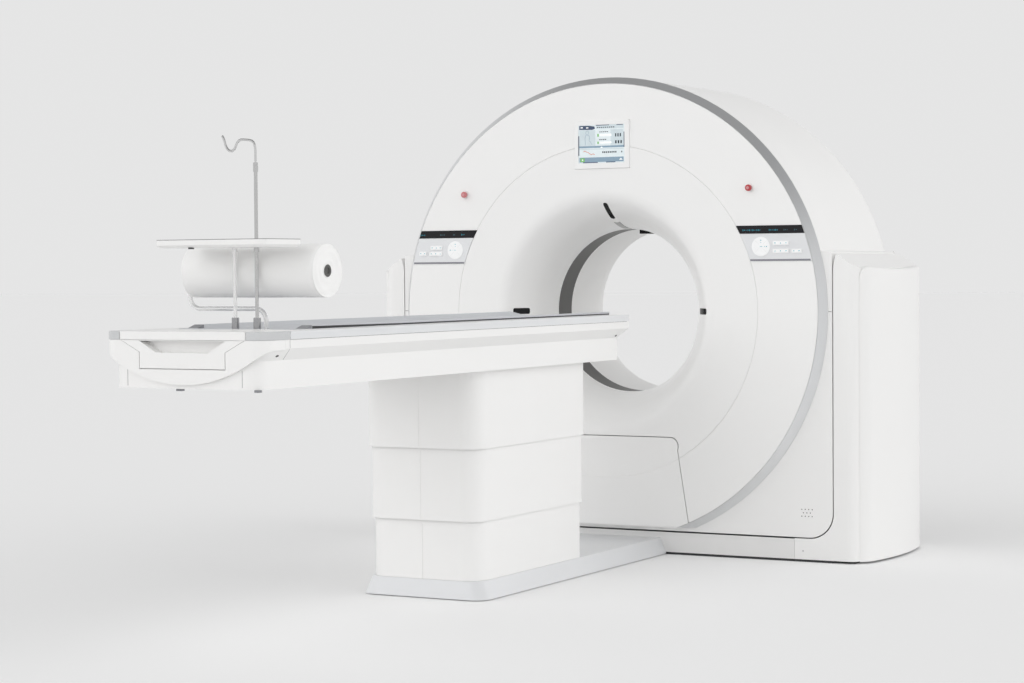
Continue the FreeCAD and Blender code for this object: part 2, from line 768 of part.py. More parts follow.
def make_emergency_stop(side):
    seat = stop_seat(side)
    top = seat - Y_AXIS * stop_collar_height
    head_base = top - Y_AXIS * (stop_travel + seat_gap)
    steps = [(0, 0), (stop_radius, 0), (stop_radius, -stop_height * 0.7),
             (stop_radius * 0.72, -stop_height), (0, -stop_height)]
    face = Part.Face(wire(steps, lambda u, v: Vector(head_base.x + u, head_base.y + v, head_base.z)))
    head = face.revolve(head_base, Y_AXIS, 360)
    stem = rod(head_base, seat + Y_AXIS * (cover_wall + stop_height), stop_stem_radius)
    return fuse([head, stem])


# ---- the gantry's body ----------------------------------------------------------------------
def swing_limit(inset, count):
    """Everything that may lie under the tilt axis without meeting the floor frame."""
    half = body_half_width - inset
    reach = swing_radius - inset
    corner = swing_corner - inset
    right = round_steps((half - corner, reach - corner), corner, 0, 90, count)
    left = [(-x, z) for x, z in right[::-1]]
    lower = swung([(-half, 0), (half, 0)] + right + left)
    upper = box((-half, half), (-front_plane - 1, rear_plane + 1),
                (iso_height, iso_height + drum_radius + 10))
    return lower.fuse(upper)


def body_blank(inset, y):
    """Drum and shouldered box of the gantry body between two depths."""
    drum = rod(Vector(0, y[0], iso_height), Vector(0, y[1], iso_height), drum_radius - inset)
    half = body_half_width - inset
    corner = shoulder_radius - inset / 2
    outline = rounded((-half, half), (0, shoulder_height - inset), (0, 0, corner, corner))
    return drum.fuse(extrude_y(outline, y))


def make_body_shell():
    outer = body_blank(0, (-front_plane, rear_seam)).common(swing_limit(0, 4))
    inner = body_blank(cover_wall, (-front_plane + cover_wall, rear_seam + 1))
    inner = inner.common(swing_limit(cover_wall, 1))
    shell = outer.cut(inner)
    lip = extrude_y(rounded((-body_half_width, body_half_width), (body_bottom, iso_height / 2),
                            (body_corner, body_corner, 0, 0)),
                    (-front_plane, -front_plane + lip_thickness))
    shell = shell.fuse(lip)
    border = 24.0
    mouth = rod(Vector(0, -front_plane - 5, iso_height),
                Vector(0, -front_plane + cover_wall + 5, iso_height), disc_radius - border)
    floor_cut = box((-drum_radius, drum_radius), (front_room[0], 0), (0, disc_bottom + border))
    shell = shell.cut(mouth.cut(floor_cut))
    reach = X_AXIS * tower_inner
    holes = rod(ISOCENTRE - reach, ISOCENTRE + reach, trunnion_radius + 2)
    return shell.cut(holes).removeSplitter()


def rear_slab(inset, count):
    """Rear cover's outside, with its rounded edge."""
    y0 = rear_seam + cover_gap
    y1 = rear_plane - inset
    edge = rear_edge_radius - inset
    r = drum_radius - inset
    half = body_half_width - inset
    start = y0 - inset
    drum = turned([(0, start), (r, start)] + round_steps((r - edge, y1 - edge), edge, 0, 90, count)
                  + [(0, y1)])
    sides = round_steps((half - edge, y1 - edge), edge, 0, 90, count)
    top = shoulder_height - inset
    level = extrude_z([(-half, start), (half, start)] + sides + [(-x, y) for x, y in sides[::-1]],
                      (0, top))
    over = round_steps((y1 - edge, top - edge), edge, 0, 90, count)
    upright = extrude_x([(start, 0), (y1, 0)] + over + [(start, top)], (-half, half))
    return drum.fuse(level.common(upright))


def make_rear_cover():
    shell = rear_slab(0, 3).common(swing_limit(0, 4))
    shell = shell.cut(rear_slab(cover_wall, 1).common(swing_limit(cover_wall, 1)))
    flare = rear_plane - tunnel_rear
    outer = bore_radius + flare
    shell = shell.cut(rod(Vector(0, tunnel_rear, iso_height), Vector(0, rear_plane + 5, iso_height),
                          outer))
    mouth = turned(round_steps((outer, tunnel_rear), flare, 180, 90, 7)
                   + [(outer + 1, rear_plane), (outer + 1, rear_plane - cover_wall)]
                   + round_steps((outer, tunnel_rear), flare - cover_wall, 90, 180, 3))
    return shell.fuse(mouth).removeSplitter()


def make_stator_frame():
    """Welded plate with side cheeks and the two trunnions."""
    half = stator_half_width
    low = iso_height - stator_half_height
    high = iso_height + stator_half_height
    slope = stator_half_height - cheek_half_height - 10
    plate = extrude_y([(-half, low + slope), (-half + slope, low), (half - slope, low),
                       (half, low + slope), (half, high - slope), (half - slope, high),
                       (-half + slope, high), (-half, high - slope)], stator_y)
    plate = plate.cut(rod(Vector(0, stator_y[0] - 1, iso_height),
                          Vector(0, stator_y[1] + 1, iso_height), stator_hole))
    cheek_front = -column_half_y - 40
    tall = cheek_half_height
    cheek = extrude_x([(stator_y[0] + 1, iso_height - tall), (stator_y[0] + 1, iso_height + tall),
                       (cheek_front + 60, iso_height + tall - 60), (cheek_front, iso_height + 60),
                       (cheek_front, iso_height - 60), (cheek_front + 60, iso_height - tall + 60)],
                      cheek_x)
    trunnion = rod(ISOCENTRE + X_AXIS * (cheek_x[1] - 2), ISOCENTRE + X_AXIS * trunnion_end,
                   trunnion_radius)
    mounts = [box((half - 2, body_half_width - cover_wall - seat_gap),
                  (stator_y[0] + 4, stator_y[1] - 4), (z, z + cover_mount_height))
              for z in (iso_height - cheek_half_height, iso_height + 60)]
    side = fuse([cheek, trunnion] + mounts)
    return fuse([plate, side, mirrored(side)])


def make_main_bearing():
    return ring(bearing_inner, bearing_outer, bearing_y)


def make_drive_ring():
    """Coil ring of the direct drive, on the stator plate."""
    rear = stator_y[0] - seat_gap
    return ring(drive_radii[0], drive_radii[1], (rear - drive_depth, rear))


# ---- the rotor ------------------------------------------------------------------------------
def sector(radii, angles, y):
    """Part of a ring about the bore axis between two angles from +X."""
    start, end = (math.radians(a) for a in angles)
    middle = (start + end) / 2

    def at(radius, angle):
        return (radius * math.cos(angle), iso_height + radius * math.sin(angle))

    inner, outer = radii
    steps = [at(inner, start), at(outer, start), at(outer, end) + at(outer, middle),
             at(inner, end), at(inner, start) + at(inner, middle)]
    return extrude_y(steps[:4] + [steps[4]], y)


def make_rotor_ring():
    plate = ring(rotor_bore, rotor_radius, rotor_plate_y)
    hub = ring(hub_inner, bearing_inner - hub_clearance,
               (rotor_plate_y[1] - 1, stator_y[0] - 2))
    rim = ring(rotor_radius - rotor_rim[0], rotor_radius,
               (rotor_plate_y[0] - rotor_rim[1], rotor_plate_y[0] + 1))
    return fuse([plate, hub, rim])


def make_x_ray_tube():
    """Tube housing along the bore axis, with its flange and cable socket."""
    centre = iso_height + tube_height
    start = Vector(0, tube_y[0], centre)
    body = rod(start, Vector(0, tube_y[1], centre), tube_radius)
    flange = rod(Vector(0, tube_y[1] - tube_flange, centre), Vector(0, tube_y[1], centre),
                 tube_radius + tube_flange)
    base = Vector(0, tube_y[0] + 2 * tube_socket, centre)
    socket = rod(base, base + (X_AXIS + Z_AXIS * 0.6) * (tube_radius + tube_flange - 2), tube_socket)
    return fuse([body, flange, socket])


def make_collimator():
    """Box that narrows the fan of x-rays below the tube."""
    top = iso_height + tube_height - tube_radius - tube_flange - seat_gap
    low = iso_height + rotor_bore
    inner_top = collimator_top - collimator_wall[0]
    inner_low = collimator_low - collimator_wall[1]
    block = extrude_y([(-collimator_top, top), (-collimator_low, low), (collimator_low, low),
                       (collimator_top, top)], (-collimator_depth, rotor_plate_y[0] - seat_gap))
    slot = extrude_y([(-inner_top, top + 1), (-inner_low, low - 1), (inner_low, low - 1),
                      (inner_top, top + 1)], (-collimator_slot, collimator_slot))
    return block.cut(slot)


def make_detector_array():
    """Curved row of detector modules, centred on the focus."""
    focus = iso_height + tube_height
    spread = math.radians(detector_half_angle)
    inner = focus_to_detector
    outer = inner + detector_depth

    def at(radius, angle):
        return (radius * math.sin(angle), focus - radius * math.cos(angle))

    steps = [at(inner, spread), at(outer, spread), at(outer, -spread) + at(outer, 0),
             at(inner, -spread), at(inner, spread) + at(inner, 0)]
    body = extrude_y(steps, (-detector_half_width, rotor_plate_y[0] - seat_gap))
    grooves = []
    for k in range(-6, 7):
        a = spread * k / 6.5
        u, v = at(inner - 1, a)
        slot = box((-1.5, 1.5), (-detector_half_width + 8, detector_half_width - 8), (0, 12))
        slot.translate(Vector(u, 0, v - 12))
        grooves.append(slot)
    return body.cut(grooves)


def make_generator():
    return sector(generator_radii, generator_angles, (rotor_box_front, rotor_plate_y[0] - seat_gap))


def make_heat_exchanger():
    """Cooler for the tube's oil, with slots between its fins."""
    block = sector(generator_radii, exchanger_angles, (rotor_box_front, rotor_plate_y[0] - seat_gap))
    slots = []
    for k in range(4):
        y = rotor_box_front + 26 + 50 * k
        slots.append(ring(generator_radii[0] + 40, rotor_radius, (y, y + 26)))
    return block.cut(slots)


def make_slip_ring():
    """Ring of tracks on the back of the rotor plate."""
    y0 = rotor_plate_y[1] + seat_gap
    return ring(slip_ring_radii[0], slip_ring_radii[1], (y0, y0 + slip_ring_depth))


# ---- towers and floor -----------------------------------------------------------------------
def tower_section(inset):
    """Front view of the right tower, in (x, z)."""
    inner = tower_inner + inset
    outer = tower_outer - inset
    top = (tower_top_inner[0] + inset, tower_top_inner[1] - inset)
    slope = (tower_top_inner[1] - tower_top_outer) / (tower_outer - tower_top_inner[0])
    low = skirt_bottom - inset
    outer_top = top[1] - slope * (outer - top[0])
    bow = arc_middle((inner, tower_flare_start), top, tower_flare_radius, -1)
    return [(inner, low), (outer, low), (outer, outer_top), top,
            (inner, tower_flare_start, bow[0], bow[1])]


def tower_plan(inset):
    """Top view of the right tower, in (x, y)."""
    corner = tower_corner - inset
    return rounded((tower_inner - 1 + inset, tower_outer - inset),
                   (-front_plane + inset, tower_rear - inset), (0, corner, corner, 0))


def make_tower_shell():
    """Right tower: one moulding with the corner piece that closes the body's lower corner."""
    y = (-front_plane - 1, tower_rear + 1)
    z = (-10, tower_top_inner[1] + 10)
    outer = extrude_y(tower_section(0), y).common(extrude_z(tower_plan(0), z))
    inner = extrude_y(tower_section(tower_wall), y).common(extrude_z(tower_plan(tower_wall), z))
    shell = outer.cut(inner)
    opening = side_half_length - side_flange + 4
    shell = shell.cut(box((tower_outer - 2 * tower_wall, tower_outer + 1),
                          (side_centre_y - opening, side_centre_y + opening),
                          (0, side_top - side_flange)))
    bore = rod(ISOCENTRE + X_AXIS * (tower_inner - 1),
               ISOCENTRE + X_AXIS * (tower_inner + 2 * tower_wall), trunnion_radius + 6)
    sill = box((tower_inner - 1, tower_inner + tower_wall + 1), (-frame_front - 2, frame_rear + 2),
               (0, frame_height + seat_gap))
    shell = shell.cut([bore, sill])
    gap = tower_inner - body_half_width
    reach = body_corner + gap
    bow = reach * (1 - math.sqrt(0.5))
    low = body_bottom - gap
    corner = extrude_y([(skirt_seam + skirt_gap / 2, skirt_bottom), (tower_inner + 1, skirt_bottom),
                        (tower_inner + 1, low + reach), (tower_inner, low + reach),
                        (tower_inner - reach, low, tower_inner - bow, low + bow),
                        (skirt_seam + skirt_gap / 2, low)],
                       (-front_plane, -front_plane + skirt_thickness))
    return fuse([shell, corner])


def side_plan(inset):
    """Top view of the right side cover, in (x, y): end curve, long bulge, end curve."""
    base = tower_outer + side_gap
    bulge = side_bulge - inset
    drop = side_arc_radius - math.sqrt(side_arc_radius ** 2 - side_half_chord ** 2)
    shoulder = bulge - drop
    near = side_centre_y - side_half_chord
    far = side_centre_y + side_half_chord
    end = side_half_length - inset
    start = (base, side_centre_y - end)
    finish = (base, side_centre_y + end)
    first = arc_middle(start, (shoulder, near), side_end_radius, 1)
    last = arc_middle((shoulder, far), finish, side_end_radius, 1)
    return [start, (shoulder, near) + first, (shoulder, far, bulge, side_centre_y), finish + last]


def make_side_cover():
    """Bowed cover of the right tower: its upper inner corner is round, its column side open."""
    outer = extrude_z(side_plan(0), (side_bottom, side_top))
    base = tower_outer + side_gap
    bow = side_corner_radius * (1 - math.sqrt(0.5))
    front = extrude_y([(base - 1, side_bottom - 1), (side_bulge + 1, side_bottom - 1),
                       (side_bulge + 1, side_top + 1), (base + side_corner_radius, side_top + 1),
                       (base + side_corner_radius, side_top),
                       (base, side_top - side_corner_radius, base + bow, side_top - bow),
                       (base - 1, side_top - side_corner_radius)],
                      (side_centre_y - side_half_length - 1, side_centre_y + side_half_length + 1))
    outer = outer.common(front)
    skin = tower_wall + 2
    inner = extrude_z(side_plan(skin), (side_bottom - 1, side_top - side_corner_radius))
    keep = box((base - 1, base + skin / 2), (side_centre_y - side_half_length - 1,
                                             side_centre_y + side_half_length + 1),
               (0, side_top + 1))
    hollow = inner.cut(keep)
    opening = side_half_length - side_flange
    door = box((base - 1, base + skin), (side_centre_y - opening, side_centre_y + opening),
               (side_bottom - 1, side_top - side_corner_radius - side_flange / 2))
    return outer.cut([hollow, door])


def make_skirt_front():
    half = skirt_seam - skirt_gap / 2
    return box((-half, half), (-front_plane, -front_plane + skirt_thickness),
               (skirt_bottom, skirt_top))


def make_skirt_rear():
    half = tower_inner - seat_gap
    return box((-half, half), (tower_rear - skirt_thickness, tower_rear),
               (skirt_bottom, rear_skirt_top))


def make_floor_frame():
    """Three cross members and a long beam under each tower."""
    reach = tower_inner - 4
    front = box((-reach, reach), (-frame_front, -frame_front + beam_width), (0, frame_height))
    rear = box((-reach, reach), (frame_rear - beam_width, frame_rear), (0, frame_height))
    centre = box((-reach, reach), (-centre_plate_half, centre_plate_half), (0, centre_plate_height))
    ends = tower_corner / 2
    right = box((reach - 1, frame_outer), (-frame_front + ends, frame_rear - ends),
                (0, frame_height))
    holes = [rod(Vector(anchor_x, y, -1), Vector(anchor_x, y, frame_height + 1), anchor_radius)
             for y in anchor_y]
    right = right.cut(holes)
    return fuse([front, rear, centre, right, mirrored(right)])


def make_tower_column():
    """Steel column with the tilt bearing's housing at its head."""
    low = frame_height + seat_gap
    wall = column_wall_thickness
    post = box(column_x, (-column_half_y, column_half_y), (low, column_top))
    hollow = box((column_x[0] + wall, column_x[1] - wall),
                 (-column_half_y + wall, column_half_y - wall),
                 (low - 1, iso_height - trunnion_radius - 2 * bearing_boss[0]))
    reach = column_half_y + column_foot[0]
    foot = box((column_x[0] - 4, column_x[1] + 10), (-reach, reach), (low, low + column_foot[1]))
    housing = rod(ISOCENTRE + X_AXIS * column_x[0],
                  ISOCENTRE + X_AXIS * (column_x[1] + bearing_boss[1]),
                  trunnion_radius + bearing_boss[0])
    column = fuse([post.cut(hollow), foot, housing])
    bore = rod(ISOCENTRE + X_AXIS * (column_x[0] - 5), ISOCENTRE + X_AXIS * tower_outer,
               trunnion_radius + trunnion_clearance)
    return column.cut(bore)


def make_tilt_drive():
    """Geared motor on the right column, level with the trunnion's end."""
    start = column_x[1] + bearing_boss[1] + seat_gap
    gear = rod(ISOCENTRE + X_AXIS * start, ISOCENTRE + X_AXIS * (start + gear_length), gear_radius)
    axis = ISOCENTRE + X_AXIS * (start + gear_length / 2)
    motor = rod(axis - Z_AXIS * motor_reach[0], axis - Z_AXIS * motor_reach[1], motor_radius)
    return fuse([gear, motor])


# ---- the table ------------------------------------------------------------------------------
def base_outline(half, foot, corner):
    """Top view of the table's base, square at the gantry's end."""
    return rounded((-half, half), (-foot, -base_head), (corner, corner, 0, 0))


def tapered_base(inset, z):
    """Base plate's outside, leaning in towards its top."""
    low = wire(base_outline(base_bottom_half - inset, base_foot_bottom - inset,
                            base_corner - inset), lambda u, v: Vector(u, v, z[0]))
    high = wire(base_outline(base_top_half - inset, base_foot_top - inset,
                             base_corner - inset), lambda u, v: Vector(u, v, z[1]))
    return Part.makeLoft([low, high], True, True)


def pad_places():
    """Levelling feet of the table, in (x, y)."""
    rows = (-base_foot_top + foot_inset[1], -base_head - foot_inset[1])
    return [(side * (base_top_half - foot_inset[0]), y) for side in (-1, 1) for y in rows]


def make_base_plate():
    plate = tapered_base(0, base_z)
    hollow = tapered_base(base_wall, (base_z[0] - 1, base_z[1] - base_wall))
    inside = box((-base_bottom_half, base_bottom_half),
                 (-base_foot_bottom, -base_head - base_wall), (0, base_z[1]))
    seam = box((-pedestal_seam / 2, pedestal_seam / 2), (-base_foot_bottom - 1, low_cover[1] - 1),
               (base_z[1] - 1.2, base_z[1] + 1))
    return plate.cut([hollow.common(inside), seam])


def make_levelling_feet():
    feet = []
    for x, y in pad_places():
        pad = rod(Vector(x, y, 0), Vector(x, y, foot_pad_height), foot_pad_radius)
        stud = rod(Vector(x, y, 1), Vector(x, y, base_z[1] - base_wall - seat_gap),
                   foot_stud_radius)
        feet.append(pad.fuse(stud).removeSplitter())
    return Part.makeCompound(feet)


def make_pedestal_cover(size):
    """One telescoping cover: a rounded tube with a seam down its foot face."""
    half, front, rear, bottom, top = size
    w = pedestal_wall
    corner = (pedestal_corner, pedestal_corner, pedestal_rear_corner, pedestal_rear_corner)
    outer = extrude_z(rounded((-half, half), (front, rear), corner), (bottom, top))
    inner = extrude_z(rounded((-half + w, half - w), (front + w, rear - w),
                              [r - w for r in corner]), (bottom - 1, top + 1))
    seam = box((-pedestal_seam / 2, pedestal_seam / 2), (front - 1, front + 1), (bottom - 1, top + 1))
    return outer.cut([inner, seam])


def make_column_stage(stage, z):
    """Square tube of the lift column; each stage slides inside the one below."""
    half_x = column_size[0] / 2 - stage * column_step
    half_y = column_size[1] / 2 - stage * column_step
    y = (column_centre_y - half_y, column_centre_y + half_y)
    tube = box((-half_x, half_x), y, z)
    hollow = box((-half_x + column_wall, half_x - column_wall),
                 (y[0] + column_wall, y[1] - column_wall), (z[0] - 1, z[1] + 1))
    return tube.cut(hollow)


def column_glides(stage, low):
    """Glide pads outside a stage that bear on the stage below."""
    gap = column_step - column_wall - slide_clearance
    half_x = column_size[0] / 2 - stage * column_step
    half_y = column_size[1] / 2 - stage * column_step
    pads = []
    for side in (-1, 1):
        for y in (column_centre_y - half_y + glide_inset,
                  column_centre_y + half_y - glide_inset - glide_length):
            x = sorted((side * (half_x - 1), side * (half_x + gap)))
            pads.append(box(x, (y, y + glide_length), (low, low + glide_height)))
    return pads


def make_lift_column_base():
    reach, thick = column_flange
    half_x = column_size[0] / 2
    half_y = column_size[1] / 2
    low, high = low_column_z
    foot = (low, low + thick)
    flange = box((-half_x - reach, half_x + reach),
                 (column_centre_y - half_y - reach, column_centre_y + half_y + reach), foot)
    keep = box((-half_x + column_wall, half_x - column_wall),
               (column_centre_y - half_y + column_wall, column_centre_y + half_y - column_wall),
               (low - 1, high))
    tube = make_column_stage(0, low_column_z)
    barrel_radius = ram_radii[0] + ram_wall
    centre = Vector(0, column_centre_y, 0)
    barrel = rod(centre + Z_AXIS * low, centre + Z_AXIS * (high - 10), barrel_radius)
    bore = rod(centre + Z_AXIS * (low + thick), centre + Z_AXIS * high,
               ram_radii[0] + slide_clearance)
    floor = box((-half_x, half_x), (column_centre_y - barrel_radius - 8,
                                    column_centre_y + barrel_radius + 8), foot)
    return fuse([flange.cut(keep), tube, floor, barrel]).cut(bore)


def make_lift_column_mid():
    tube = make_column_stage(1, mid_column_z)
    pads = column_glides(1, mid_column_z[0] + 6)
    ram = rod(Vector(0, column_centre_y, mid_column_z[0]),
              Vector(0, column_centre_y, mid_column_z[1]), ram_radii[0])
    bore = rod(Vector(0, column_centre_y, mid_column_z[0] - 1),
               Vector(0, column_centre_y, mid_column_z[1] + 1), ram_radii[1] + slide_clearance)
    arms = []
    for side in (-1, 1):
        x = sorted((side * (column_size[0] / 2 - column_step - 2),
                    side * (mid_cover[0] - pedestal_wall - seat_gap)))
        for y in (column_centre_y - mid_arm_reach, column_centre_y + mid_arm_reach - mid_arm_width):
            arms.append(box(x, (y, y + mid_arm_width), mid_arm_z))
    return group(fuse([tube] + pads + arms), ram.cut(bore))


def make_lift_column_top():
    tube = make_column_stage(2, top_column_z)
    pads = column_glides(2, top_column_z[0] + 6)
    half_x, half_y, thick = top_plate
    head = box((-half_x, half_x), (column_centre_y - half_y, column_centre_y + half_y),
               (top_column_z[1] - thick, top_column_z[1]))
    ram = rod(Vector(0, column_centre_y, top_column_z[0]),
              Vector(0, column_centre_y, top_column_z[1] - 1), ram_radii[1])
    return fuse([tube] + pads + [head, ram])


def deck_section():
    """Cross-section of the deck body, in (x, z): a deep channel, open at its top."""
    w = deck_wall
    right = [(deck_side, rail_bottom), (deck_side, side_bottom_edge),
             (lower_half_width, chamfer_bottom), (lower_half_width, belly)]
    inside = [(deck_side - w, rail_bottom), (deck_side - w, side_bottom_edge + 2),
              (lower_half_width - w, chamfer_bottom + 3), (lower_half_width - w, belly + w)]
    return [(-x, z) for x, z in right] + right[::-1] + inside + [(-x, z) for x, z in inside[::-1]]


def deck_plan(half, foot, head, corner):
    """Top view of the deck with rounded foot corners, in (x, y)."""
    return rounded((-half, half), (-foot, -head), (corner, corner, 0, 0))


def foot_block(inset, z):
    """Deck body's foot end: upright below, leaning out behind the foot cap."""
    foot = table_foot - foot_setback - inset
    rear = foot_seam - 1 - 4 * inset
    low = deck_plan(lower_half_width - inset, foot, rear, deck_corner - inset)
    high = deck_plan(deck_side - deck_wall - seat_gap - inset, foot, rear,
                     deck_corner - foot_setback - inset)
    lean = Part.makeLoft([wire(low, lambda u, v: Vector(u, v, chamfer_bottom)),
                          wire(high, lambda u, v: Vector(u, v, foot_rim))], True, True)
    return fuse([extrude_z(low, (z[0], chamfer_bottom)), lean]
                + ([extrude_z(high, (foot_rim, z[1]))] if z[1] > foot_rim else []))


def make_deck_body():
    """Painted channel under the deck, closed at both ends."""
    w = deck_wall
    channel = extrude_y(deck_section(), (-foot_seam, -table_head))
    end = -table_head - lower_head_step
    wide = (-deck_side - 1, deck_side + 1)
    channel = channel.cut(extrude_x([(end, belly - 1), (end, chamfer_bottom),
                                     (-table_head + 1, side_bottom_edge + 0.5),
                                     (-table_head + 1, belly - 1)], wide))
    solid = extrude_y([(deck_side, rail_bottom), (-deck_side, rail_bottom),
                       (-deck_side, side_bottom_edge), (-lower_half_width, chamfer_bottom),
                       (-lower_half_width, belly), (lower_half_width, belly),
                       (lower_half_width, chamfer_bottom), (deck_side, side_bottom_edge)],
                      (end - 2 * w, -table_head))
    head_wall = extrude_x([(end, belly), (end, chamfer_bottom), (-table_head, side_bottom_edge),
                           (-table_head, side_bottom_edge + w), (-table_head - w, side_bottom_edge + w),
                           (end - w, chamfer_bottom + w / 2), (end - w, belly)], wide)
    foot = foot_block(0, (belly, foot_rim)).cut(foot_block(w, (belly + w, foot_rim + 1)))
    notch = box((-foot_notch[0], foot_notch[0]), (-table_foot, -table_foot + 4 * foot_setback),
                (foot_notch[1], foot_rim + 1))
    return fuse([channel, head_wall.common(solid), foot.cut(notch)])


def foot_panel_outline(grow):
    """Front view of the panel in the foot cap, in (x, z)."""
    return [(-foot_panel_narrow - grow, foot_panel_bottom - grow),
            (foot_panel_narrow + grow, foot_panel_bottom - grow),
            (foot_panel_narrow + grow, foot_panel_knee), (foot_panel_wide + grow, foot_panel_top),
            (foot_panel_wide + grow, foot_panel_top + grow),
            (-foot_panel_wide - grow, foot_panel_top + grow),
            (-foot_panel_wide - grow, foot_panel_top), (-foot_panel_narrow - grow, foot_panel_knee)]


def make_foot_cap():
    """Apron at the foot end, with its curved lower edge."""
    plan = extrude_z(deck_plan(deck_side, table_foot, foot_seam + 0.5, deck_corner),
                     (smile_middle - 2, rail_bottom - seat_gap))
    w = foot_setback - seat_gap
    inner = extrude_z(deck_plan(deck_side - deck_wall, table_foot - w, foot_seam - 10,
                                deck_corner - w), (belly, rail_bottom + 5))
    apron = extrude_y([(-deck_side - 1, smile_side), (deck_side + 1, smile_side, 0, smile_middle),
                       (deck_side + 1, rail_bottom), (-deck_side - 1, rail_bottom)],
                      (-table_foot - 1, -foot_seam + foot_setback))
    cap = plan.cut(inner).common(apron)
    return cap.cut(extrude_y(foot_panel_outline(foot_panel_gap),
                             (-table_foot - 1, -table_foot + 2 * foot_setback)))


def make_foot_panel():
    """Moulded panel with the hand grip's recess."""
    front = -table_foot
    skin = extrude_y(foot_panel_outline(0), (front, front + foot_setback - seat_gap))
    tub = extrude_y([(-grip_low[0] - grip_wall, grip_low[1] - grip_wall),
                     (grip_low[0] + grip_wall, grip_low[1] - grip_wall),
                     (grip_top[0] + grip_wall, foot_panel_top - 0.4),
                     (-grip_top[0] - grip_wall, foot_panel_top - 0.4)],
                    (front + 1, front + foot_panel_depth))
    recess = extrude_y([(-grip_low[0], grip_low[1]), (grip_low[0], grip_low[1]), grip_top,
                        (-grip_top[0], grip_top[1])], (front - 1, front + grip_depth))
    return fuse([skin, tub]).cut(recess)


def make_deck_top():
    """White top frame round the cradle's opening."""
    half = deck_half_width - rail_thickness - seat_gap
    outer = extrude_z(deck_plan(half, table_foot, table_head, deck_corner - rail_thickness),
                      (rail_bottom, deck_top))
    corner_room = deck_half_width - cap_flat
    notches = []
    for side in (-1, 1):
        x = sorted((side * (cap_flat - joint_gap), side * (deck_half_width + 5)))
        notch = box(x, (-table_foot - 1, -table_foot + corner_room), (rail_bottom - 1, deck_top + 1))
        keep = extrude_z(deck_plan(half, table_foot - rail_thickness - seat_gap, table_head,
                                   deck_corner - rail_thickness), (rail_bottom - 2, deck_top + 2))
        notches.append(notch.cut(keep))
    gap = cradle_side_gap
    well = box((-cradle_half_width - gap, cradle_half_width + gap),
               (-cradle_foot - gap, -table_head + 1), (rail_bottom - 1, deck_top + 1))
    return outer.cut(notches + [well])


def make_side_rails():
    """Grooved rail along each side of the deck."""
    outer = deck_half_width
    inner = outer - rail_thickness
    z0 = rail_bottom + seat_gap
    z1 = deck_top
    groove = (z0 + rail_groove, z1 - rail_groove)
    floor = outer - rail_groove_depth
    section = [(inner, z0), (outer, z0), (outer, groove[0]), (floor, groove[0]),
               (floor, groove[1]), (outer, groove[1]), (outer, z1 - 1.5), (outer - 1.5, z1),
               (inner, z1)]
    rail = extrude_y(section, (-cap_side_end + joint_gap, -table_head))
    return group(rail, mirrored(rail))


def make_corner_caps():
    """Metal caps round the foot corners of the deck, with a softened upper edge."""
    low = rail_bottom + seat_gap
    levels = ((0.0, low, deck_top - 2.5), (0.8, deck_top - 2.5, deck_top - 1.0),
              (2.4, deck_top - 1.0, deck_top + 0.4))
    outer = fuse([extrude_z(deck_plan(deck_half_width - step, table_foot - step, table_head,
                                      deck_corner - step), (z0, z1)) for step, z0, z1 in levels])
    z = (low - 1, deck_top + 1)
    inner = extrude_z(deck_plan(deck_half_width - rail_thickness, table_foot - rail_thickness,
                                table_head, deck_corner - rail_thickness), z)
    corner = outer.cut(inner).common(box((cap_flat, deck_half_width + 1),
                                         (-table_foot - 1, -cap_side_end), z))
    return group(corner, mirrored(corner))


def make_deck_beams():
    """Two beams inside the deck with the cradle's guide rails on top."""
    x = (guide_x - beam_half_width, guide_x + beam_half_width)
    side_wall, flat_wall = beam_wall
    beam = box(x, (-beam_foot, -beam_rear), beam_z)
    beam = beam.cut(box((x[0] + side_wall, x[1] - side_wall), (-beam_foot - 10, -beam_rear + 10),
                        (beam_z[0] + flat_wall, beam_z[1] - flat_wall)))
    feet = []
    for y in (-beam_foot + 110, column_centre_y - 280, column_centre_y + 200, -beam_rear - 160):
        feet.append(box(x, (y, y + 80), (belly + deck_wall + seat_gap, beam_z[0] + 1)))
    rail = box((guide_x - guide_half_width, guide_x + guide_half_width),
               (-beam_foot - 10, -beam_rear), (beam_z[1] - 1, guide_z))
    side = fuse([beam, rail] + feet)
    return group(side, mirrored(side))


def make_carriages():
    """Runner blocks under the cradle's foot part, each riding a guide rail."""
    blocks = []
    w = carriage_half_width
    g = guide_half_width + slide_clearance
    top = cradle_bottom - seat_gap
    under = guide_z - carriage_grip
    seat = guide_z + slide_clearance
    for side in (-1, 1):
        c = side * guide_x
        for y0 in (carriage_y[0], carriage_y[1] - carriage_length):
            section = [(c - w, under), (c - g, under), (c - g, seat), (c + g, seat),
                       (c + g, under), (c + w, under), (c + w, top), (c - w, top)]
            blocks.append(extrude_y(section, (y0, y0 + carriage_length)))
    return Part.makeCompound(blocks)


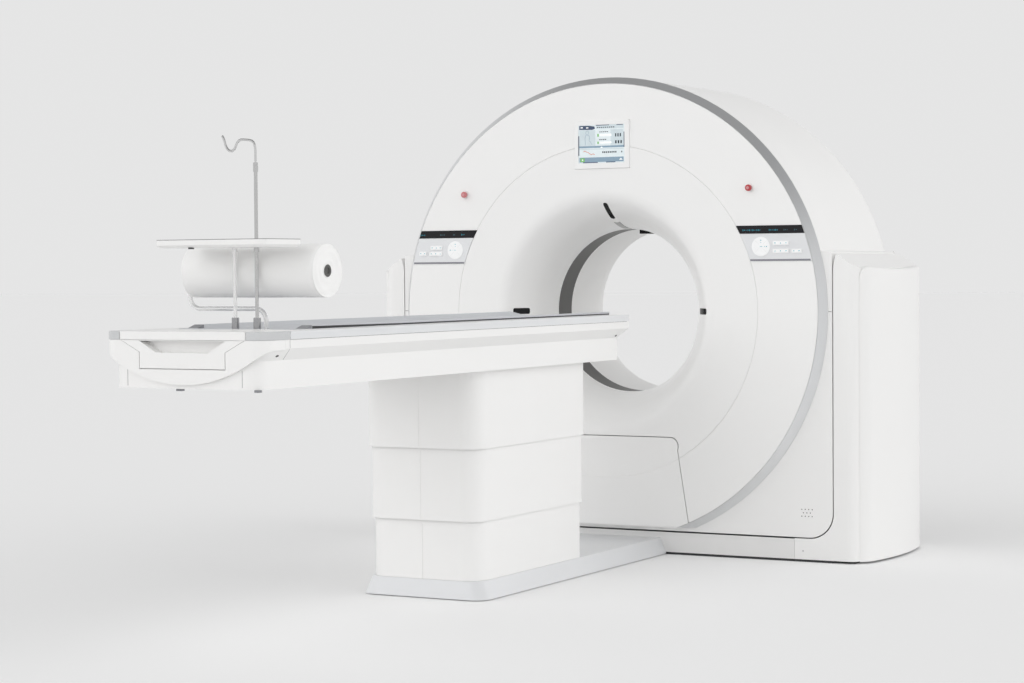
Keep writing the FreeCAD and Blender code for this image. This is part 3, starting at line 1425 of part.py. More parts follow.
# ---- the cradle and what it carries ---------------------------------------------------------
def make_cradle():
    """Long hollow-topped slab with raised side edges that start short of its foot end."""
    half = cradle_half_width
    e = rim_edge
    bow = e * (1 - math.sqrt(0.5))
    waist = deck_top - 20
    section = [(-half + 30, cradle_bottom), (half - 30, cradle_bottom),
               (half, waist, half - 7, cradle_bottom + 6),
               (half, cradle_rim - e), (half - e, cradle_rim, half - bow, cradle_rim - bow),
               (hollow_half, cradle_low + hollow_depth),
               (-hollow_half, cradle_low + hollow_depth, 0, cradle_low),
               (-half + e, cradle_rim), (-half, cradle_rim - e, -half + bow, cradle_rim - bow),
               (-half, waist), (-half + 30, cradle_bottom, -half + 7, cradle_bottom + 6)]
    slab = extrude_y(section, (-cradle_foot, -cradle_head))
    plan = extrude_z(rounded((-half - 1, half + 1), (-cradle_foot, -cradle_head), (30, 30, 60, 60)),
                     (cradle_bottom - 1, cradle_rim + 1))
    step = box((-half - 1, half + 1), (-cradle_foot - 1, -rim_foot), (deck_top + 1, cradle_rim + 1))
    return slab.common(plan).cut(step)


def cradle_surface(x):
    """Height of the cradle's hollow top at a distance from its middle."""
    return cradle_low + hollow_depth * (x / hollow_half) ** 2


def stand_level(x):
    """Height at which a socket stands on the hollow top."""
    return cradle_surface(abs(x) + socket_foot_radius) + seat_gap


def post_collar(x, radius):
    """Flare of a post right under the tray."""
    top = tray_z[0] - seat_gap
    return rod(Vector(x, post_y, top - post_rest_height), Vector(x, post_y, top), radius)


def make_tray_stand():
    """Two foot sockets, the left one with the plain post that ends under the tray."""
    shapes = []
    for x in (post_left, post_right):
        start = Vector(x, post_y, stand_level(x))
        foot = rod(start, start + Z_AXIS * socket_foot_height, socket_foot_radius)
        sleeve = rod(start, Vector(x, post_y, socket_top), socket_radius)
        shapes.append(foot.fuse(sleeve).removeSplitter())
    post = rod(Vector(post_left, post_y, stand_level(post_left) + 1),
               Vector(post_left, post_y, tray_z[0] - seat_gap), post_radius)
    bore = rod(Vector(post_right, post_y, stand_level(post_right) + socket_floor_thickness),
               Vector(post_right, post_y, socket_top + 1), post_radius + inlay_gap)
    left = fuse([shapes[0], post, post_collar(post_left, post_radius + post_rest)])
    return group(left, shapes[1].cut(bore))


def make_pole_tube():
    """Right post, which passes the tray and carries the hooked rod."""
    start = Vector(post_right, post_y, stand_level(post_right) + socket_floor_thickness + seat_gap)
    tube = rod(start, Vector(post_right, post_y, pole_top), post_radius)
    bore = rod(start + Z_AXIS * 8, Vector(post_right, post_y, pole_top + 1), pole_bore)
    cuts = [bore]
    depth, width = pole_groove
    for z in pole_groove_z:
        low = Vector(post_right, post_y, z)
        cuts.append(rod(low, low + Z_AXIS * width, post_radius + 1).cut(
            rod(low, low + Z_AXIS * width, post_radius - depth)))
    return fuse([tube, post_collar(post_right, post_radius + post_rest)]).cut(cuts)


def make_tray():
    """Shallow pan with rounded corners and bevelled floor edges."""
    def pan(inset, top):
        block = extrude_z(rounded((-tray_half + inset, tray_half - inset),
                                  (tray_y[0] + inset, tray_y[1] - inset),
                                  (tray_corner - inset,) * 4), (tray_z[0] + inset, top))
        low = [e for e in block.Edges if abs(e.BoundBox.ZMax - tray_z[0] - inset) < 0.01]
        return block.makeChamfer(tray_floor_bevel, low)

    body = pan(0, tray_z[1]).cut(pan(tray_wall, tray_z[1] + 1))
    hole = rod(Vector(post_right, post_y, tray_z[0] - 5), Vector(post_right, post_y, tray_z[1]),
               post_radius + inlay_gap)
    return body.cut(hole)


def make_pole_collar():
    """Slim clamp sleeve over the top of the tube, which the hooked rod slides in."""
    low = Vector(post_right, post_y, collar_z[0])
    top = Vector(post_right, post_y, collar_z[1])
    body = rod(low, top, collar_radius)
    wide = rod(low - Z_AXIS, Vector(post_right, post_y, pole_top + seat_gap),
               post_radius + collar_bore_gap)
    narrow = rod(low, top + Z_AXIS, rod_radius + collar_bore_gap)
    return body.cut([wide, narrow])


def make_pole_rod():
    """Thin rod in the tube, bent at its top into an open hook."""
    start = Vector(post_right, post_y, hook_start)
    curve = Part.BSplineCurve()
    curve.interpolate([start] + [start + Vector(dx, 0, dz) for dx, dz in hook_line])
    line = curve.discretize(Number=hook_chords)
    return mitred_bar([Vector(post_right, post_y, rod_tail)] + line, rod_radius)


def make_roll_bracket():
    """Bent bar from the cradle, round the roll's end and into its core, with the spindle sleeve."""
    low = cradle_surface(bracket_x[0] + bracket_foot_radius) + seat_gap
    foot = Vector(bracket_x[0], roll_y, low)
    end = -roll_half - roll_stop[0]
    points = [foot + Z_AXIS * 2, Vector(bracket_x[0], roll_y, bracket_run_z),
              Vector(bracket_x[1], roll_y, bracket_run_z), Vector(bracket_x[1], roll_y, roll_z),
              Vector(end + bracket_bend, roll_y, roll_z)]
    bar = mitred_bar(bent_path(points, bracket_bend), bracket_radius)
    flange = rod(foot, foot + Z_AXIS * bracket_foot_height, bracket_foot_radius)
    sleeve = rod(Vector(end - 1, roll_y, roll_z), Vector(roll_half - 4, roll_y, roll_z),
                 spindle_radius)
    stop = rod(Vector(end - roll_stop[1], roll_y, roll_z), Vector(end, roll_y, roll_z),
               roll_stop_radius)
    return fuse([bar, flange, sleeve, stop])


def make_paper_roll():
    """Wound paper on its core: the last turn ends in a small step."""
    steps = []
    quarters = 8
    for k in range(quarters + 1):
        a = math.radians(200 + 360.0 * k / quarters)
        r = roll_radius - roll_tail_step * (1 - k / quarters)
        point = (roll_y + r * math.cos(a), roll_z + r * math.sin(a))
        if k == 0:
            steps.append(point)
            continue
        am = math.radians(200 + 360.0 * (k - 0.5) / quarters)
        rm = roll_radius - roll_tail_step * (1 - (k - 0.5) / quarters)
        steps.append(point + (roll_y + rm * math.cos(am), roll_z + rm * math.sin(am)))
    roll = extrude_x(steps, (-roll_half, roll_half))
    bore = rod(Vector(-roll_half - 1, roll_y, roll_z), Vector(roll_half + 1, roll_y, roll_z),
               roll_bore)
    dish = rod(Vector(roll_half - 1.5, roll_y, roll_z), Vector(roll_half, roll_y, roll_z),
               roll_bore + 4)
    return roll.cut([bore, dish])


# ---- write every piece ----------------------------------------------------------------------
os.makedirs("parts", exist_ok=True)

tower_shell = make_tower_shell()
side_cover = make_side_cover()
tower_column = make_tower_column()

pieces = {
    "gantry_floor_frame": make_floor_frame(),
    "tower_column_right": tower_column,
    "tower_column_left": mirrored(tower_column),
    "tower_shell_right": tower_shell,
    "tower_shell_left": mirrored(tower_shell),
    "tower_side_cover_right": side_cover,
    "tower_side_cover_left": mirrored(side_cover),
    "tilt_drive": make_tilt_drive(),
    "skirt_front": make_skirt_front(),
    "skirt_rear": make_skirt_rear(),
    "table_base_plate": make_base_plate(),
    "levelling_feet": make_levelling_feet(),
    "pedestal_cover_low": make_pedestal_cover(low_cover),
    "lift_column_base": make_lift_column_base(),
    "stator_frame": make_stator_frame(),
    "body_shell": make_body_shell(),
    "trim_ring": make_trim_ring(),
    "front_outer_cover": make_front_outer_cover(),
    "front_inner_cover": make_front_inner_cover(),
    "lower_service_panel": make_service_panel(),
    "scan_window": make_scan_window(),
    "rear_tunnel": make_rear_tunnel(),
    "rear_cover": make_rear_cover(),
    "monitor_housing": make_monitor_housing(),
    "monitor_screen": make_monitor_screen(),
    "control_panels": group(make_control_panel(-1), make_control_panel(1)),
    "display_strips": group(make_display_strip(-1), make_display_strip(1)),
    "keypads": group(make_keypad(-1, keys_left), make_keypad(1, keys_right)),
    "laser_windows": make_laser_windows(),
    "main_bearing": make_main_bearing(),
    "drive_ring": make_drive_ring(),
    "emergency_stop_left": make_emergency_stop(-1),
    "emergency_stop_right": make_emergency_stop(1),
    "rotor_ring": make_rotor_ring(),
    "x_ray_tube": make_x_ray_tube(),
    "collimator": make_collimator(),
    "detector_array": make_detector_array(),
    "high_voltage_generator": make_generator(),
    "heat_exchanger": make_heat_exchanger(),
    "slip_ring": make_slip_ring(),
    "pedestal_cover_mid": make_pedestal_cover(mid_cover),
    "lift_column_mid": make_lift_column_mid(),
    "pedestal_cover_top": make_pedestal_cover(top_cover),
    "lift_column_top": make_lift_column_top(),
    "deck_body": make_deck_body(),
    "deck_top_frame": make_deck_top(),
    "foot_cap": make_foot_cap(),
    "foot_panel": make_foot_panel(),
    "side_rails": make_side_rails(),
    "corner_caps": make_corner_caps(),
    "deck_beams": make_deck_beams(),
    "cradle": make_cradle(),
    "cradle_carriages": make_carriages(),
    "tray": make_tray(),
    "tray_stand": make_tray_stand(),
    "infusion_pole_tube": make_pole_tube(),
    "pole_collar": make_pole_collar(),
    "pole_rod": make_pole_rod(),
    "roll_bracket": make_roll_bracket(),
    "paper_roll": make_paper_roll(),
}

for name, piece in pieces.items():
    save(name, piece)
print(len(pieces), "pieces")
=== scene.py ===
"""Looks of the tomography scanner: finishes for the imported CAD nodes, the small details that the
source leaves out, the camera, the floor and the light. Metres, in the CAD frame."""
import json
import math
import bmesh
import bpy
from mathutils import Matrix, Vector
from mathutils.bvhtree import BVHTree


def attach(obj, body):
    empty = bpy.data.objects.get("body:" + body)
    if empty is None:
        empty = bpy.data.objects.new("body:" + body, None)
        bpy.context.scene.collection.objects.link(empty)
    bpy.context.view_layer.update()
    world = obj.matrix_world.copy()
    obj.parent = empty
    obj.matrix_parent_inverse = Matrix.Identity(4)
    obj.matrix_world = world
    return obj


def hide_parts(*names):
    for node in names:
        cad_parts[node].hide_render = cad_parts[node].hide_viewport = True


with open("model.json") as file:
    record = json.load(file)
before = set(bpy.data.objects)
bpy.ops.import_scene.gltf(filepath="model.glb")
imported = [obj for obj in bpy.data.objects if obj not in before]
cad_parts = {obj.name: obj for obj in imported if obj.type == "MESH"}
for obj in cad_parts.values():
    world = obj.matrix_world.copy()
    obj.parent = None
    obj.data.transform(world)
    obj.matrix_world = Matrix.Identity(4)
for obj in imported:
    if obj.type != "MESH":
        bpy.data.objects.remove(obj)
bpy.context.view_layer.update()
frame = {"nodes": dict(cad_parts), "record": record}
nodes = frame["nodes"]
slot_of = {part["node"]: part["material_slot"] for part in frame["record"]["subparts"]}

MM = 0.001
ISO = 1.0144                 # height of the bore axis
ISO_MM = ISO / MM            # the same in millimetres, the unit of the outlines below
SIDES = ((1, "right"), (-1, "left"))
SKIN, SINK = 0.15 * MM, 0.3 * MM   # how far printed marks stand proud, and how deep they go
FLOOR_COLOUR, FLOOR_HALF = (0.86, 0.86, 0.86, 1.0), 90.0
FLOOR_LIFT = 0.10            # glow of the floor, for camera, mirror and glass rays only
# soft light of the studio: direction, cosines where it starts and is full, base and gain
SOFT_LIGHT = (((0.0, 0.0, 1.0), 0.2, 0.9, 0.47, -0.16),
              ((-0.55, -0.80, 0.30), 0.45, 1.0, 0.0, 1.22),
              ((0.85, 0.50, 0.25), 0.45, 1.0, 0.0, 0.95),
              ((0.93, -0.32, 0.20), 0.45, 1.0, 0.0, 0.55))
BACKDROP = ((0.0, 0.0, 1.0), 0.30, 0.75, 0.787, -0.45)   # the same for the pale surroundings

# ---- camera at the photograph's view ---------------------
PHOTO_WIDTH, FOCAL_LENGTH = 1024.0, 2344.91   # in pixels
SENSOR = 36.0                                 # in millimetres
camera_place = Vector((4.35697, -9.1646, 1.19709))
yaw, pitch, roll = math.radians(28.49), math.radians(1.78), math.radians(-0.44)
forward = Vector((-math.sin(yaw) * math.cos(pitch), math.cos(yaw) * math.cos(pitch),
                  -math.sin(pitch)))
level = Vector((math.cos(yaw), math.sin(yaw), 0))
upward = level.cross(forward)
right = level * math.cos(roll) + upward * math.sin(roll)
up = upward * math.cos(roll) - level * math.sin(roll)
camera_data = bpy.data.cameras.new("camera")
camera_data.sensor_width = SENSOR
camera_data.lens = FOCAL_LENGTH * SENSOR / PHOTO_WIDTH
camera_data.clip_end = 300.0
camera = bpy.data.objects.new("camera", camera_data)
facing = Matrix((right, up, -forward)).transposed().to_4x4()
camera.matrix_world = Matrix.Translation(camera_place) @ facing
bpy.context.scene.collection.objects.link(camera)
bpy.context.scene.camera = camera


# ---- materials -------------------------------------------
def node(tree, kind, inputs=None, **settings):
    """One shader node, with its settings and socket values."""
    made = tree.nodes.new(kind)
    for key, value in settings.items():
        setattr(made, key, value)
    for key, value in (inputs or {}).items():
        made.inputs[key].default_value = value
    return made


def turned_coordinates(tree, place):
    """Radius, depth and angle about the bore axis, for finishes that run round the gantry."""
    link = tree.links.new
    split = node(tree, "ShaderNodeSeparateXYZ")
    link(place, split.inputs[0])
    height = node(tree, "ShaderNodeMath", {1: ISO}, operation="SUBTRACT")
    link(split.outputs["Z"], height.inputs[0])
    angle = node(tree, "ShaderNodeMath", operation="ARCTAN2")
    link(height.outputs[0], angle.inputs[0])
    link(split.outputs["X"], angle.inputs[1])
    flat = node(tree, "ShaderNodeCombineXYZ")
    link(split.outputs["X"], flat.inputs[0])
    link(height.outputs[0], flat.inputs[1])
    radius = node(tree, "ShaderNodeVectorMath", operation="LENGTH")
    link(flat.outputs[0], radius.inputs[0])
    joined = node(tree, "ShaderNodeCombineXYZ")
    link(radius.outputs["Value"], joined.inputs[0])
    link(split.outputs["Y"], joined.inputs[1])
    link(angle.outputs[0], joined.inputs[2])
    return joined.outputs[0]


MOUTH_BORE, MOUTH_BOW, MOUTH_START = 350.0, 340.0, 63.0   # profile of the bore's mouth
LIP_BOW, LIP_TURN = 80.0, 46.0
ROUND_SHARE = (0.965, 0.985)  # cosines between which the mouth's normals take over


def mouth_normal(tree):
    """Smooth normal of the bore's mouth, where the mesh has chords; elsewhere the mesh's own."""
    link = tree.links.new

    def math_node(kind, *values):
        made = node(tree, "ShaderNodeMath", operation=kind)
        for slot, value in enumerate(values):
            if isinstance(value, float):
                made.inputs[slot].default_value = value
            else:
                link(value, made.inputs[slot])
        return made.outputs[0]

    lip_sine = math.sin(math.radians(LIP_TURN))
    split = node(tree, "ShaderNodeSeparateXYZ")
    link(node(tree, "ShaderNodeTexCoord").outputs["Object"], split.inputs[0])
    x, y = split.outputs["X"], split.outputs["Y"]
    z = math_node("SUBTRACT", split.outputs["Z"], ISO)
    radius = math_node("SQRT", math_node("ADD", math_node("MULTIPLY", x, x),
                                         math_node("MULTIPLY", z, z)))
    bow = math_node("MULTIPLY_ADD", y, -1 / (MOUTH_BOW * MM), -MOUTH_START / MOUTH_BOW)
    bow = math_node("MAXIMUM", math_node("MINIMUM", bow, lip_sine), 0.0)
    lip_from = MOUTH_START + (MOUTH_BOW - LIP_BOW) * lip_sine
    lip = math_node("MULTIPLY_ADD", y, -1 / (LIP_BOW * MM), -lip_from / LIP_BOW)
    sine = math_node("MINIMUM", math_node("MAXIMUM", bow, lip), 1.0)
    cosine = math_node("SQRT", math_node("SUBTRACT", 1.0, math_node("MULTIPLY", sine, sine)))
    inward = math_node("DIVIDE", cosine, math_node("MULTIPLY", radius, -1.0))
    joined = node(tree, "ShaderNodeCombineXYZ")
    link(math_node("MULTIPLY", x, inward), joined.inputs[0])
    link(math_node("MULTIPLY", sine, -1.0), joined.inputs[1])
    link(math_node("MULTIPLY", z, inward), joined.inputs[2])
    world = node(tree, "ShaderNodeVectorTransform", vector_type="NORMAL", convert_from="OBJECT",
                 convert_to="WORLD")
    link(joined.outputs[0], world.inputs[0])
    own = node(tree, "ShaderNodeNewGeometry").outputs["Normal"]
    match = node(tree, "ShaderNodeVectorMath", operation="DOT_PRODUCT")
    link(world.outputs[0], match.inputs[0])
    link(own, match.inputs[1])
    share = node(tree, "ShaderNodeMapRange", {"From Min": ROUND_SHARE[0],
                                              "From Max": ROUND_SHARE[1]})
    link(match.outputs["Value"], share.inputs["Value"])
    mixed = node(tree, "ShaderNodeMix", data_type="VECTOR")
    link(share.outputs[0], mixed.inputs["Factor"])
    link(own, mixed.inputs["A"])
    link(world.outputs[0], mixed.inputs["B"])
    return mixed.outputs["Result"]


NOISE_LOW, NOISE_HIGH = 0.3, 0.7   # the part of the noise's values that is spread out
GLOSS_FINER, GLOSS_SPREAD = 3.7, 0.015   # scale of the gloss noise, and how far gloss wanders
LEAST_ROUGHNESS, COAT_ROUGHNESS = 0.02, 0.08
FIBRE_SCALE, FIBRE_STRENGTH = 160.0, 0.7
MOTTLE_DETAIL, GLOSS_DETAIL, GRAIN_DETAIL, FIBRE_DETAIL = 4.0, 5.0, 2.0, 6.0


def finish(name, colour, roughness, metallic=0.0, mottle=0.004, mottle_scale=2.2, grain=700.0,
           grain_depth=0.008, grain_strength=0.6, stretch=(1, 1, 1), turned=False, coat=0.0,
           glow=0.0, specular=0.5, fibre=0.0, brushed=0.0, mouth=False):
    """A moulded, painted or metal surface: mottled colour, uneven gloss and a fine grain.
    Depths of the grain and of the fibres are in millimetres."""
    made = bpy.data.materials.new(name)
    made.use_nodes = True
    tree = made.node_tree
    link = tree.links.new
    shader = tree.nodes["Principled BSDF"]
    shader.inputs["Metallic"].default_value = metallic
    shader.inputs["Coat Weight"].default_value = coat
    shader.inputs["Coat Roughness"].default_value = COAT_ROUGHNESS
    shader.inputs["Specular IOR Level"].default_value = specular
    place = node(tree, "ShaderNodeTexCoord").outputs["Object"]
    if turned:
        place = turned_coordinates(tree, place)
    mapping = node(tree, "ShaderNodeMapping", {"Scale": stretch})
    link(place, mapping.inputs["Vector"])

    def noise(scale, detail):
        pattern = node(tree, "ShaderNodeTexNoise", {"Scale": scale, "Detail": detail})
        link(mapping.outputs[0], pattern.inputs["Vector"])
        return pattern.outputs["Fac"]

    broad = noise(mottle_scale, MOTTLE_DETAIL)
    mix = node(tree, "ShaderNodeMix", data_type="RGBA")
    mix.inputs["A"].default_value = tuple(min(1.0, c * (1 - mottle)) for c in colour) + (1.0,)
    mix.inputs["B"].default_value = tuple(min(1.0, c * (1 + mottle)) for c in colour) + (1.0,)
    ramp = node(tree, "ShaderNodeMapRange", {"From Min": NOISE_LOW, "From Max": NOISE_HIGH})
    link(broad, ramp.inputs["Value"])
    link(ramp.outputs[0], mix.inputs["Factor"])
    link(mix.outputs["Result"], shader.inputs["Base Color"])
    if glow:
        link(mix.outputs["Result"], shader.inputs["Emission Color"])
        shader.inputs["Emission Strength"].default_value = glow
    if brushed:
        shader.inputs["Anisotropic"].default_value = brushed
        tangent = node(tree, "ShaderNodeTangent", direction_type="RADIAL", axis="Y")
        link(tangent.outputs[0], shader.inputs["Tangent"])
    gloss = node(tree, "ShaderNodeMapRange", {"From Min": NOISE_LOW, "From Max": NOISE_HIGH,
                                              "To Min": max(LEAST_ROUGHNESS,
                                                            roughness - GLOSS_SPREAD),
                                              "To Max": min(1.0, roughness + GLOSS_SPREAD)})
    uneven = noise(mottle_scale * GLOSS_FINER, GLOSS_DETAIL)
    link(uneven, gloss.inputs["Value"])
    link(gloss.outputs[0], shader.inputs["Roughness"])
    fine = noise(grain, GRAIN_DETAIL)
    relief = node(tree, "ShaderNodeBump", {"Strength": grain_strength,
                                           "Distance": grain_depth * MM})
    link(fine, relief.inputs["Height"])
    if mouth:
        link(mouth_normal(tree), relief.inputs["Normal"])
    if fibre:
        strands = noise(FIBRE_SCALE, FIBRE_DETAIL)
        raised = node(tree, "ShaderNodeBump", {"Strength": FIBRE_STRENGTH, "Distance": fibre * MM})
        link(strands, raised.inputs["Height"])
        link(relief.outputs[0], raised.inputs["Normal"])
        relief = raised
    link(relief.outputs[0], shader.inputs["Normal"])
    return made


white = finish("white_moulding", (0.92, 0.916, 0.907), 0.36, coat=0.10)
front_skin = {"coat": 0.15, "grain": 1100, "grain_depth": 0.003, "grain_strength": 0.3}
white_front = finish("white_front_moulding", (0.92, 0.917, 0.909), 0.32, **front_skin)
white_mouth = finish("white_mouth_moulding", (0.92, 0.917, 0.909), 0.32, mouth=True,
                     **front_skin)
bright_white = finish("bright_white_moulding", (0.93, 0.93, 0.925), 0.30, coat=0.2)
skirt_white = finish("skirt_moulding", (0.84, 0.837, 0.83), 0.42)
ring_silver = finish("turned_silver_trim", (0.80, 0.81, 0.82), 0.30, metallic=1.0, mottle=0.03,
                     mottle_scale=30, grain=60, grain_depth=0.003, stretch=(60, 60, 0.6),
                     turned=True, brushed=0.8)
rail_silver = finish("drawn_silver_rail", (0.82, 0.835, 0.85), 0.24, metallic=0.75, mottle=0.02,
                     mottle_scale=8, grain=60, grain_depth=0.003, stretch=(30, 0.6, 30))
cap_silver = finish("cast_silver_cap", (0.74, 0.75, 0.76), 0.17, metallic=1.0, mottle=0.02,
                    mottle_scale=8, grain=900, grain_depth=0.004)
plate_silver = finish("silver_floor_paint", (0.84, 0.85, 0.865), 0.33, metallic=0.30, mottle=0.012,
                      grain=2600, grain_depth=0.008)
panel_silver = finish("silver_panel_paint", (0.385, 0.39, 0.41), 0.42, metallic=0.2, mottle=0.01,
                      grain=2400, grain_depth=0.008)
# dark: painted shade, for the shadow line under the control panels' proud lower edge
ledge_shade = finish("panel_ledge_painted_shade", (0.26, 0.26, 0.29), 0.42, metallic=0.2, mottle=0.01,
                      grain=2400, grain_depth=0.008)
grey = finish("grey_moulding", (0.26, 0.265, 0.28), 0.45, grain=1500, grain_depth=0.02)
dark_steel = finish("dark_painted_steel", (0.045, 0.047, 0.05), 0.5, metallic=0.1, mottle=0.06,
                    grain=900, grain_depth=0.03)
upright_grain = {"mottle_scale": 12, "grain": 60, "grain_depth": 0.002, "stretch": (30, 30, 1)}
bright_steel = finish("ground_steel", (0.92, 0.92, 0.92), 0.24, metallic=0.7, mottle=0.01,
                      **upright_grain)
tube_steel = finish("drawn_steel_tube", (0.60, 0.60, 0.60), 0.16, metallic=1.0, mottle=0.01,
                    **upright_grain)
rod_steel = finish("drawn_steel_rod", (0.70, 0.70, 0.70), 0.20, metallic=1.0, mottle=0.01,
                   **upright_grain)
aluminium = finish("machined_aluminium", (0.66, 0.67, 0.69), 0.34, metallic=0.9, mottle=0.03,
                   grain=60, grain_depth=0.006, stretch=(20, 20, 20))
machinery = finish("machinery_paint", (0.17, 0.185, 0.21), 0.45, mottle=0.04, grain=500,
                   grain_depth=0.04)
film = finish("scan_window_film", (0.080, 0.079, 0.074), 0.42, mottle=0.03, mottle_scale=3,
              grain=1400, grain_depth=0.006)
dark_glass = finish("dark_window", (0.006, 0.006, 0.007), 0.22, specular=0.25)
black_gloss = finish("black_display_glass", (0.018, 0.018, 0.020), 0.20, specular=0.2)
screen_glass = finish("screen_glass", (0.50, 0.58, 0.60), 0.2, glow=0.22, coat=0.3)
# the white keys shine faintly by themselves: painted light, as they are no lamp
membrane = finish("key_membrane_painted_glow", (0.93, 0.935, 0.94), 0.38, grain=1500, grain_depth=0.01,
                  glow=0.06)
red_plastic = finish("red_button", (0.50, 0.045, 0.055), 0.34, coat=0.2, mottle=0.03)
# a lighter copy of the buttons' red, for the left button only: painted light
red_lit_copy = finish("red_button_painted_light", (0.62, 0.20, 0.21), 0.36, coat=0.2, mottle=0.03)
cradle_mat = finish("cradle_mat", (0.595, 0.61, 0.64), 0.42, mottle=0.012, grain=1300,
                    grain_depth=0.03)
# near black: painted shadow in the gap under the cradle's raised side edges
cradle_gap_shadow = finish("cradle_gap_painted_shadow", (0.030, 0.031, 0.034), 0.38, mottle=0.05, mottle_scale=20)
paper = finish("paper", (0.945, 0.942, 0.934), 0.85, mottle=0.012, mottle_scale=14, grain=900,
               grain_depth=0.03, specular=0.25, fibre=0.035, stretch=(0.35, 1, 1))

by_slot = {"white_plastic": white, "silver_plastic": panel_silver, "silver_paint": plate_silver,
           "silver_trim": rail_silver, "grey_plastic": grey, "dark_steel": dark_steel,
           "bright_steel": bright_steel, "aluminium": aluminium, "machinery": machinery,
           "window_film": film, "dark_window": dark_glass, "black_gloss": black_gloss,
           "screen": screen_glass, "membrane": membrane, "red_plastic": red_plastic,
           "cradle_shell": cradle_mat, "paper": paper}
by_node = {"front_outer_cover": white_front, "front_inner_cover": white_mouth,
           "lower_service_panel": white_front, "trim_ring": ring_silver,
           "monitor_housing": bright_white, "skirt_front": skirt_white, "skirt_rear": skirt_white,
           "tower_shell_left": white, "tower_shell_right": white,
           "laser_windows": white_front, "corner_caps": cap_silver,
           # the left stop button gets the lighter red copy: painted light
           "emergency_stop_left": red_lit_copy, "infusion_pole_tube": tube_steel,
           "pole_rod": rod_steel, "pole_collar": tube_steel}
for name, cad in nodes.items():
    material = by_node.get(name, by_slot[slot_of[name]])
    if not cad.data.materials:
        cad.data.materials.append(material)
    for entry in cad.material_slots:
        entry.material = material


# ---- building small pieces -------------------------------
SHARP_PLATE, SHARP_TURNED = math.radians(40), math.radians(35)   # edges above these stay sharp


def piece(name, vertices, faces, material, body, smooth=False):
    """A mesh object that rides on a body."""
    mesh = bpy.data.meshes.new(name)
    mesh.from_pydata([tuple(v) for v in vertices], [], faces)
    mesh.validate()
    mesh.materials.append(material)
    if smooth:
        mesh.shade_smooth()
    made = bpy.data.objects.new(name, mesh)
    bpy.context.scene.collection.objects.link(made)
    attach(made, body)
    return made


def skin_of(*names):
    """Search tree over the faces of some CAD nodes."""
    vertices, faces = [], []
    for name in names:
        mesh = nodes[name].data
        start = len(vertices)
        vertices += [v.co.copy() for v in mesh.vertices]
        faces += [tuple(start + i for i in p.vertices) for p in mesh.polygons]
    return BVHTree.FromPolygons(vertices, faces)


def landing(tree, start, way):
    """Where a line from start along way meets the tree's faces."""
    place = tree.ray_cast(Vector(start), Vector(way).normalized())[0]
    if place is None:
        raise ValueError(f"nothing under {tuple(start)}")
    return place


def prisms(name, outlines, face_at, material, body, thick=SKIN, sink=SINK, across="x"):
    """Thin closed plates on a front that faces -Y, or on a side that faces X (across="y").
    Outlines are lists of (x or y, z) in millimetres, and face_at gives the front's depth there.
    A plate stands thick proud of that face and goes down to sink under it."""
    vertices, faces = [], []
    for outline in outlines:
        count, start = len(outline), len(vertices)
        for layer in (0, 1):
            for a, z in outline:
                depth = face_at(a, z)
                if across == "x":
                    vertices.append((a * MM, depth + (sink if layer else -thick), z * MM))
                else:
                    out = 1 if depth > 0 else -1
                    vertices.append((depth + out * (-sink if layer else thick), a * MM, z * MM))
        faces.append([start + i for i in range(count)])
        faces.append([start + count + i for i in reversed(range(count))])
        for i in range(count):
            j = (i + 1) % count
            faces.append([start + i, start + count + i, start + count + j, start + j])
    return outward(piece(name, vertices, faces, material, body))


def outward(made):
    """Turn a closed piece's faces outwards."""
    tidy = bmesh.new()
    tidy.from_mesh(made.data)
    bmesh.ops.recalc_face_normals(tidy, faces=tidy.faces)
    tidy.to_mesh(made.data)
    tidy.free()
    return made


def shell(name, grid, thick, material, body):
    """Closed plate: rows of (outer point, outward normal) in metres, thickened inwards."""
    rows, columns = len(grid), len(grid[0])
    outer = [point for row in grid for point, _ in row]
    inner = [point - normal * thick for row in grid for point, normal in row]
    under = rows * columns
    faces = []
    for i in range(rows - 1):
        for j in range(columns - 1):
            a = i * columns + j
            quad = [a, a + 1, a + columns + 1, a + columns]
            faces += [quad, [under + k for k in reversed(quad)]]
    rim = list(range(columns)) + [i * columns + columns - 1 for i in range(1, rows)]
    rim += [(rows - 1) * columns + j for j in reversed(range(columns - 1))]
    rim += [i * columns for i in reversed(range(1, rows - 1))]
    for a, b in zip(rim, rim[1:] + rim[:1]):
        faces.append([a, b, under + b, under + a])
    made = outward(piece(name, outer + inner, faces, material, body, smooth=True))
    made.data.set_sharp_from_angle(angle=SHARP_PLATE)
    return made


def rectangle(x0, x1, z0, z1):
    """Corners of an upright rectangle."""
    return [(x0, z0), (x1, z0), (x1, z1), (x0, z1)]


def disc(x, z, radius, steps=20, squeeze=1.0):
    """Corners of a disc, or of an oval that is squeeze times as wide as it is high."""
    turn = 2 * math.pi / steps
    return [(x + radius * squeeze * math.cos(k * turn), z + radius * math.sin(k * turn))
            for k in range(steps)]


def stroke(points, width):
    """Bars along a line of points."""
    bars = []
    for (x0, z0), (x1, z1) in zip(points, points[1:]):
        length = math.hypot(x1 - x0, z1 - z0)
        nx, nz = (z0 - z1) / length * width / 2, (x1 - x0) / length * width / 2
        bars.append([(x0 - nx, z0 - nz), (x1 - nx, z1 - nz), (x1 + nx, z1 + nz),
                     (x0 + nx, z0 + nz)])
    return bars


def fitted_face(names, back=-1.0):
    """Depth of a front at (x, z), read from the CAD nodes there."""
    tree = skin_of(*names)
    return lambda x, z: landing(tree, (x * MM, back, z * MM), (0, 1, 0)).y


